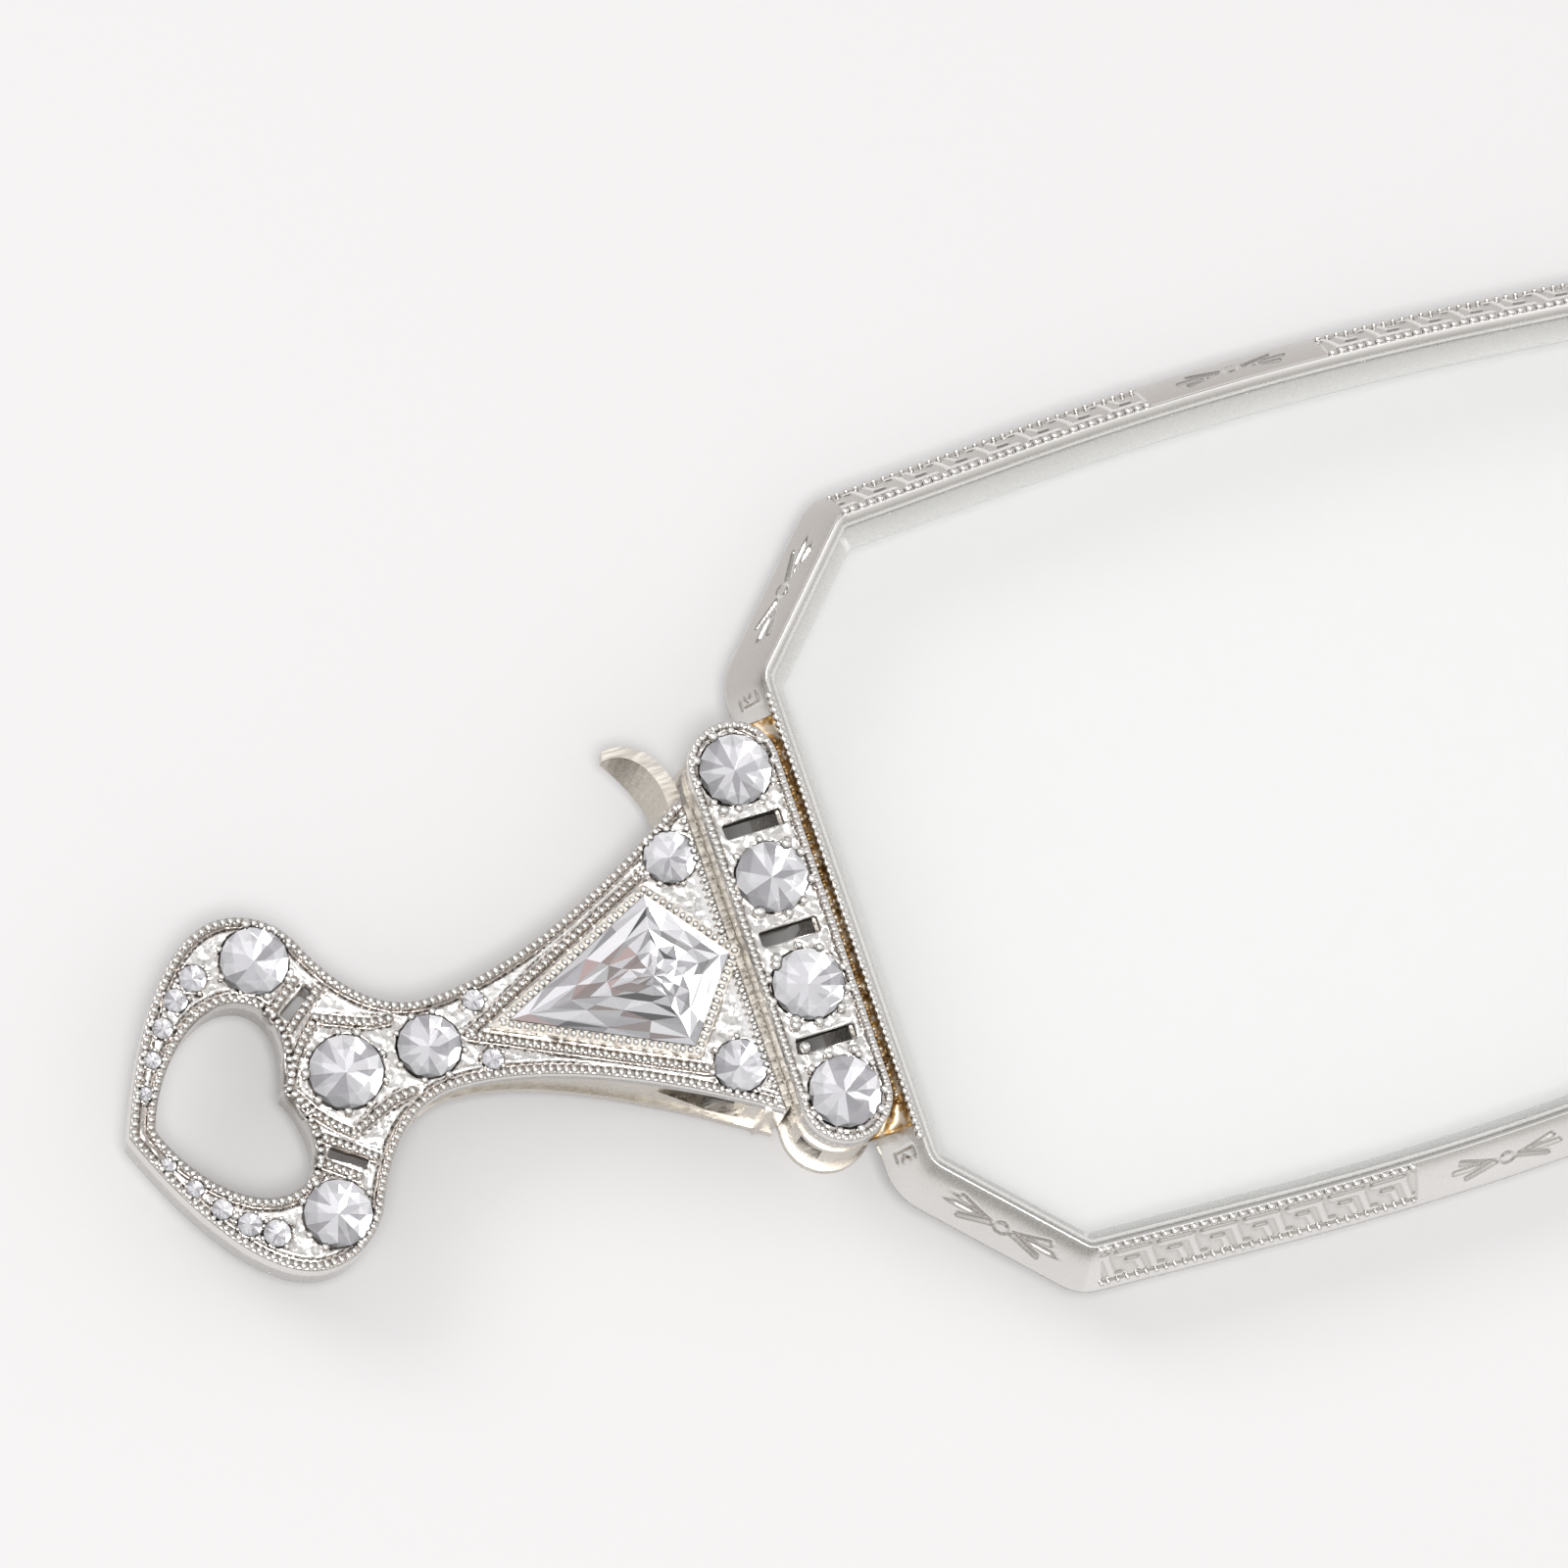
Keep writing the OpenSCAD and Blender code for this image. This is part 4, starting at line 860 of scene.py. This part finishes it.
def ornament():
    """For each part: its cuts as paths with half width and depth; and on the long rails the
    panels of raised keys, each with its ends and its lines."""
    rail, panels, plates = leaf_and_dot(0.0), [], []
    for low, high in ((-panel_end, -panel_start), (panel_start, panel_end)):
        rail += [(np.array([(low, v), (high, v)]), 0.05, 0.06) for v in (0.34, 1.6)]
        rail += [(np.array([(s, 0.3), (s, 1.64)]), 0.06, 0.07) for s in (low, high)]
        starts = low + 0.1 + key_length * np.arange(int((high - low - 0.1) / key_length))
        panels.append((low, high, [line for s0 in starts for line in key_cell(s0)]))
    square = np.array([(-0.36, 0.5), (0.36, 0.5), (0.36, 1.35), (-0.36, 1.35), (-0.36, 0.5)])
    lozenge = np.array([(-0.2, 0.92), (0, 0.7), (0.2, 0.92), (0, 1.15), (-0.2, 0.92)])
    for s0 in (-7.62, 7.62):
        plates += [(path + [s0, 0], 0.06, 0.07) for path in (square, lozenge)]
    cuts = dict.fromkeys(slants, leaf_and_dot(0.0))
    cuts.update(top=rail, bottom=rail, nose=leaf_and_dot(-3.6), bar=plates)
    return cuts, {"top": panels, "bottom": panels}


rim_path = frame_path(0.045, 0.22, {
    **dict.fromkeys(("top", "bottom"), [(-14.4, 14.4)]), **dict.fromkeys(slants, [(-1.7, 1.7)]),
    "nose": [(-5.3, -1.9)], "bar": [(-8.1, -7.1), (7.1, 8.1)]})


def abreast(at, path, reach):
    """True for places whose s is within reach of a path's."""
    return (at[..., 0] > path[:, 0].min() - reach) & (at[..., 0] < path[:, 0].max() + reach)


def engraving(v):
    """Depth and dirt_and_shade for each path point and each distance v down from the crest. A
    groove is as deep as 1 - distance / half width; keys stand up from a sunk ground, darkened at
    their feet with dirt and painted shade. The side towards the catch is darkened with painted
    shade, and its cuts are left light as painted highlights; elsewhere the cuts are darkened with
    dirt and painted shade."""
    x, y = rim_path["points"].T
    # Painted shade: the outer face darkens beyond y = 6, strongly towards +Y and faintly towards
    # -Y, more near the bar.
    side_shade = (0.42 * np.clip((y - 6) / 2, 0, 1)
               + np.where(x < 5.5, 0.13, 0.05) * np.clip((-y - 6) / 2, 0, 1))
    sink = np.zeros((len(x), len(v)))
    dirt_and_shade = np.repeat(side_shade[:, None], len(v), 1)
    cuts, panels = ornament()
    for part in cuts:
        rows = np.where(rim_path["part"] == part)[0]
        at = np.stack(np.meshgrid(rim_path["along"][rows], v, indexing="ij"), -1)
        for low, high, lines in panels.get(part, ()):
            ground = (at > (low, 0.36)).all(-1) & (at < (high, 1.58)).all(-1)
            off = np.full(ground.shape, 9.0)
            for path, half in lines:
                near = ground & abreast(at, path, 0.3)
                off[near] = np.minimum(off[near], distance(at[near], path, closed=False) - half)
            off = np.maximum(off, 0)
            share = np.minimum(off / 0.05, 1) * ground
            sink[rows] = np.maximum(sink[rows], share * key_depth)
            # The ground darkens at the feet of the keys: painted shade with some dirt.
            dirt_and_shade[rows] = np.where(ground, share * (
                dirt_and_shade[rows] + 0.1 + 0.5 * np.exp(-off / 0.07)), dirt_and_shade[rows])
        for path, half, depth in cuts[part]:
            r, c = np.where(abreast(at, path, half))
            share = np.clip(1 - distance(at[r, c], path, closed=False) / half, 0, 1)
            r, shade_share = rows[r], side_shade[rows[r]]
            sink[r, c] = np.maximum(sink[r, c], share * depth)
            # On the shaded side the cuts are left light as painted highlights; elsewhere they
            # darken with dirt and painted shade.
            dirt_and_shade[r, c] = np.where(shade_share > 0.2, np.minimum(dirt_and_shade[r, c], shade_share * (1 - share)),
                                   np.maximum(dirt_and_shade[r, c], shade_share + share * 0.35))
    return sink, dirt_and_shade


def bar_reach(y, gap=0.0):
    """How far the bar's outline, grown by a gap, stands out at each y: its radius on the straight
    part, then the height of its round end."""
    over = np.maximum(np.abs(y) - bar_straight, 0)
    return np.sqrt(np.maximum((bar_radius + gap) ** 2 - over ** 2, 0))


def rim_surface(gap_low, gap_high):
    """Points of the rim as path points by section points, and their dirt_and_shade. The outer face
    is pressed in where it is cut. Beside the bar every point is pushed out of the bar's outline
    grown by a gap, one below the bar's foot rail and another above it."""
    face = face_curve(np.linspace(0, 1, 42))
    out = to_left(unit(np.gradient(face, axis=0)))
    run = length_along(face)
    sink, dirt_and_shade = engraving(run[-1] - run)
    dirt_and_shade[:, -3:] *= 0.3                 # the crest is kept light, a painted highlight
    # The lens groove and lip are darkened a little as painted shade.
    inset, height, shade_share = np.array([      # bevel, lens groove, lip and back
        (1.08, 2.0, 0), (1.34, 1.76, 0), (1.36, 1.7, 0), (1.36, 1.3, 0), (1.2, 1.3, 0.06),
        (1.2, 0.4, 0.06), (1.79, 0.4, 0.06), (1.81, 0.36, 0.06), (1.81, 0.0, 0), (0.06, 0.0, 0),
        (0.0, 0.06, 0)]).T
    plan = np.concatenate([
        shifted(rim_path, face[:, 0]) - (sink * out[:, 0])[..., None] * rim_path["normal"][:, None],
        shifted(rim_path, inset)], 1)
    level = rim_back + np.concatenate([
        face[:, 1] - sink * out[:, 1], np.tile(height, (len(sink), 1))], 1)
    x, y = plan[..., 0], plan[..., 1]
    foot_rail, beyond_bar = -0.5, 5.0
    for gap, beside in ((gap_low, level < foot_rail), (gap_high, level >= foot_rail)):
        x = np.where(beside & (x < beyond_bar), np.maximum(x, bar_reach(y, gap)), x)
    dirt_and_shade = np.concatenate([dirt_and_shade, np.tile(shade_share, (len(sink), 1))], 1)
    return np.stack([x, y, level], -1), np.clip(dirt_and_shade, 0, 1)


def far_side(points):
    """Mirror image in the bridge's middle, for the second frame."""
    return points * [-1, 1, 1] + [2 * hinge_x, 0, 0]


near, near_dirt_and_shade = rim_surface(0.0, 0.15)
far, far_dirt_and_shade = rim_surface(0.16, 0.16)
quads = bands(*near.shape[:2], closed=True)
piece("near_rim_engraved", near.reshape(-1, 3), quads, milled, "platinum",
      stands_for=["near_rim"], dirt_and_shade=near_dirt_and_shade.ravel())
piece("far_rim_engraved", far_side(far.reshape(-1, 3)), quads[:, ::-1], milled, "platinum",
      body="far_frame", stands_for=["far_rim"], dirt_and_shade=far_dirt_and_shade.ravel())


def rim_spots(part, s, inset, height):
    """Places on the rim at distances s from a part's middle, inset from its outer edge and at a
    height over its back."""
    rows = rim_path["part"] == part
    at, plan = rim_path["along"][rows], shifted(rim_path, [inset])[rows, 0]
    return with_height(sampled(plan, at, s), height + rim_back)


def set_stops(ramp, stops):
    """Puts the given places and colours on a colour ramp, which starts with two stops."""
    line = ramp.color_ramp.elements
    line[0].position, line[0].color = stops[0]
    line[1].position, line[1].color = stops[-1]
    for place, tone in stops[1:-1]:
        line.new(place).color = tone


def patina(name):
    """Gold-brown tarnish in patches about 0.4 mm wide, over platinum that shows between them."""
    finish, tree = new_finish(name)
    ramp = add(tree, "ShaderNodeValToRGB", {"Fac": noise(tree, own_space(tree), 2600.0, 3.0)})
    set_stops(ramp, ((0.36, colour("#5E3F1E")), (0.5, colour("#A3804C")),
                     (0.62, colour("#CFC4B4"))))
    return coated(finish, {"Base Color": ramp.outputs["Color"], "Metallic": 0.8,
                           "Roughness": 0.42})


def solder_seam(half_length=6.72, n=169):
    """Filled groove between the bar's wall and the near rim: for each y a section from the bar's
    outline to the rim's crest, hollow as a sine and sinking towards the bar's ends, closed by a
    flat underside and two end faces."""
    y = np.linspace(-half_length, half_length, n)[:, None]
    t = np.linspace(0, 1, 6)
    m, crest = len(t) + 2, 1.92
    end = np.clip((np.abs(y) - 5.6) / 1.1, 0, 1)
    x = (bar_reach(y) - 0.02) * (1 - t) + crest * t
    z = 0.1 - 0.28 * np.sin(np.pi * t) - 0.45 * end * (1 - t) + 0.02 * np.sin(9 * y)
    under = np.full_like(y, -0.7)
    points = np.stack([np.hstack([x, x[:, -1:], x[:, :1]]), np.repeat(y, m, 1),
                       np.hstack([z, under, under])], -1).reshape(-1, 3)
    quads = bands(n, m)[:, [0, 3, 2, 1]].tolist()
    first, last = np.arange(m)[::-1], np.arange(m) + (n - 1) * m
    return points, quads + [first.tolist(), last.tolist()]


browned = patina("patina")
piece("solder_seam", *solder_seam(), browned, "old_platinum")
balls("seam_grains", [(1.62, y, 0.0) for y in np.linspace(-5.9, 5.9, 56)], (0.1, 0.1, 0.11),
      finish=browned, slot_name="old_platinum")
along = np.arange(panel_start + 0.1, panel_end, 0.31)
along = np.r_[-along[::-1], along]
crest_row, outer_row = (
    np.vstack([rim_spots(part, along, inset, height) for part in ("top", "bottom")])
    for inset, height in ((0.95, 1.92), (0.13, 0.62)))
bar_row = rim_spots("bar", np.arange(-7.3, 7.31, 0.24), 1.0, 1.97)
scales = np.r_[np.ones(len(crest_row) + len(bar_row)), np.full(len(outer_row), 0.6)]
balls("milgrain_near_rim", np.vstack([crest_row, bar_row, outer_row]), (0.14, 0.14, 0.14),
      scale=scales)
balls("milgrain_far_rim", far_side(np.vstack([crest_row, outer_row])), (0.12, 0.12, 0.12),
      body="far_frame")


# Lenses
#
# Ground glass, flat and clear, its edge held in the rim's groove. Mostly see-through, with the
# surface's own reflection, and a faint pale veil from its near-white colour as a painted
# reflection.
glass = plain("ground_lens_glass", {"Base Color": colour("#F2F5F4"), "Roughness": 0.02,
                                    "IOR": 1.5, "Alpha": 0.12})
dress(glass, "lens", "near_lens", "far_lens")


# Thumb catch, screws and springs
#
# Platinum ribbon bent outwards into a thumb curl, on a hub that turns on a shouldered screw inside
# the handle; its hook holds the second frame's stud when that is folded behind the first. The
# screws, springs, pin and stud are turned or drawn from steel.
dress(worn_and_shaded, "old_platinum", "lever")
steel = metal("turned_steel", "#B9BABD", "#8F9094", 0.28, scratch_mm=0.05)
dress(steel, "steel", "lever_pivot_screw", "lever_spring", "near_rim_screw", "bridge_pin",
      "bridge_spring", "far_rim_screw", "catch_stud")


# Bridge
#
# Two arched arms of milled platinum that meet in a barrel hinge on a steel pin, so that the second
# frame folds behind the first. Their feet are soldered to pads on the rims.
dress(milled, "platinum", "bridge_near_arm", "bridge_far_arm")


# Page and light
#
# The lorgnette lies on a plain pale page under broad soft light from above; the room is white
# overhead and dims towards the far side, which gives the metal its grey planes.
def lay_page(half_size=1.5):
    """Square sheet of slightly rough paper at the floor's level."""
    finish, tree = new_finish("pale_page")
    fibre = noise(tree, own_space(tree), 900.0, 5.0)
    coated(finish, {"Base Color": colour("#C4C3C3"), "Roughness": 0.9,
                    "Normal": bumps(tree, fibre, 0.15, 0.0001)})
    mesh = bpy.data.meshes.new("page")
    mesh.from_pydata([(x * half_size, y * half_size, 0) for x, y in (
        (-1, -1), (1, -1), (1, 1), (-1, 1))], [], [(0, 1, 2, 3)])
    mesh.materials.append(finish)
    page = put("page", mesh)


def light_room(mirror_way=(0.19, 0.17, 0.97)):
    """World light as a ramp over the cosine of the angle to mirror_way, which flat metal mirrors
    towards the lens, dimmed towards +Y and broken into soft patches."""
    world = bpy.data.worlds.new("room")
    bpy.context.scene.world = world
    world.use_nodes = True
    tree = world.node_tree
    tree.nodes.clear()
    way = add(tree, "ShaderNodeTexCoord").outputs["Generated"]
    angle = add(tree, "ShaderNodeVectorMath", {0: way, 1: unit(mirror_way)},
                operation="DOT_PRODUCT")
    ramp = add(tree, "ShaderNodeValToRGB", {"Fac": angle.outputs["Value"]})
    set_stops(ramp, ((0.0, (0.45, 0.44, 0.42, 1)), (0.45, (0.66, 0.65, 0.64, 1)),
                     (0.80, (1.12, 1.12, 1.12, 1)), (0.90, (1.15, 1.15, 1.15, 1)),
                     (0.97, (0.98, 0.98, 0.99, 1)), (1.0, (0.92, 0.92, 0.93, 1))))
    axes = add(tree, "ShaderNodeSeparateXYZ", {"Vector": way})
    falloff = remap(tree, axes.outputs["Y"], (0.0, 0.85), (1.0, 0.62))
    patches = remap(tree, noise(tree, way, 2.4, 0.0), (0.42, 0.56), (0.8, 1.1))
    share = add(tree, "ShaderNodeMath", {0: falloff, 1: patches}, operation="MULTIPLY")
    sky = add(tree, "ShaderNodeBackground", {"Color": ramp.outputs["Color"],
                                             "Strength": share.outputs[0]})
    add(tree, "ShaderNodeOutputWorld", {"Surface": sky.outputs[0]})


def add_lamp(name, place, size, power):
    """Square lamp that faces the middle of the part."""
    data = bpy.data.lights.new(name, "AREA")
    data.size, data.energy = size, power
    back = unit(place)
    right = unit(np.cross((0, 1, 0), back))
    stand(name, data, right, np.cross(back, right), back, place)


lay_page()
light_room()
add_lamp("overhead_lamp", (-0.36, 0.42, 0.52), size=0.35, power=1.5)
add_lamp("front_lamp", (-0.14, -0.12, 0.62), size=0.15, power=2.9)
bpy.context.scene.view_settings.view_transform = "Standard"
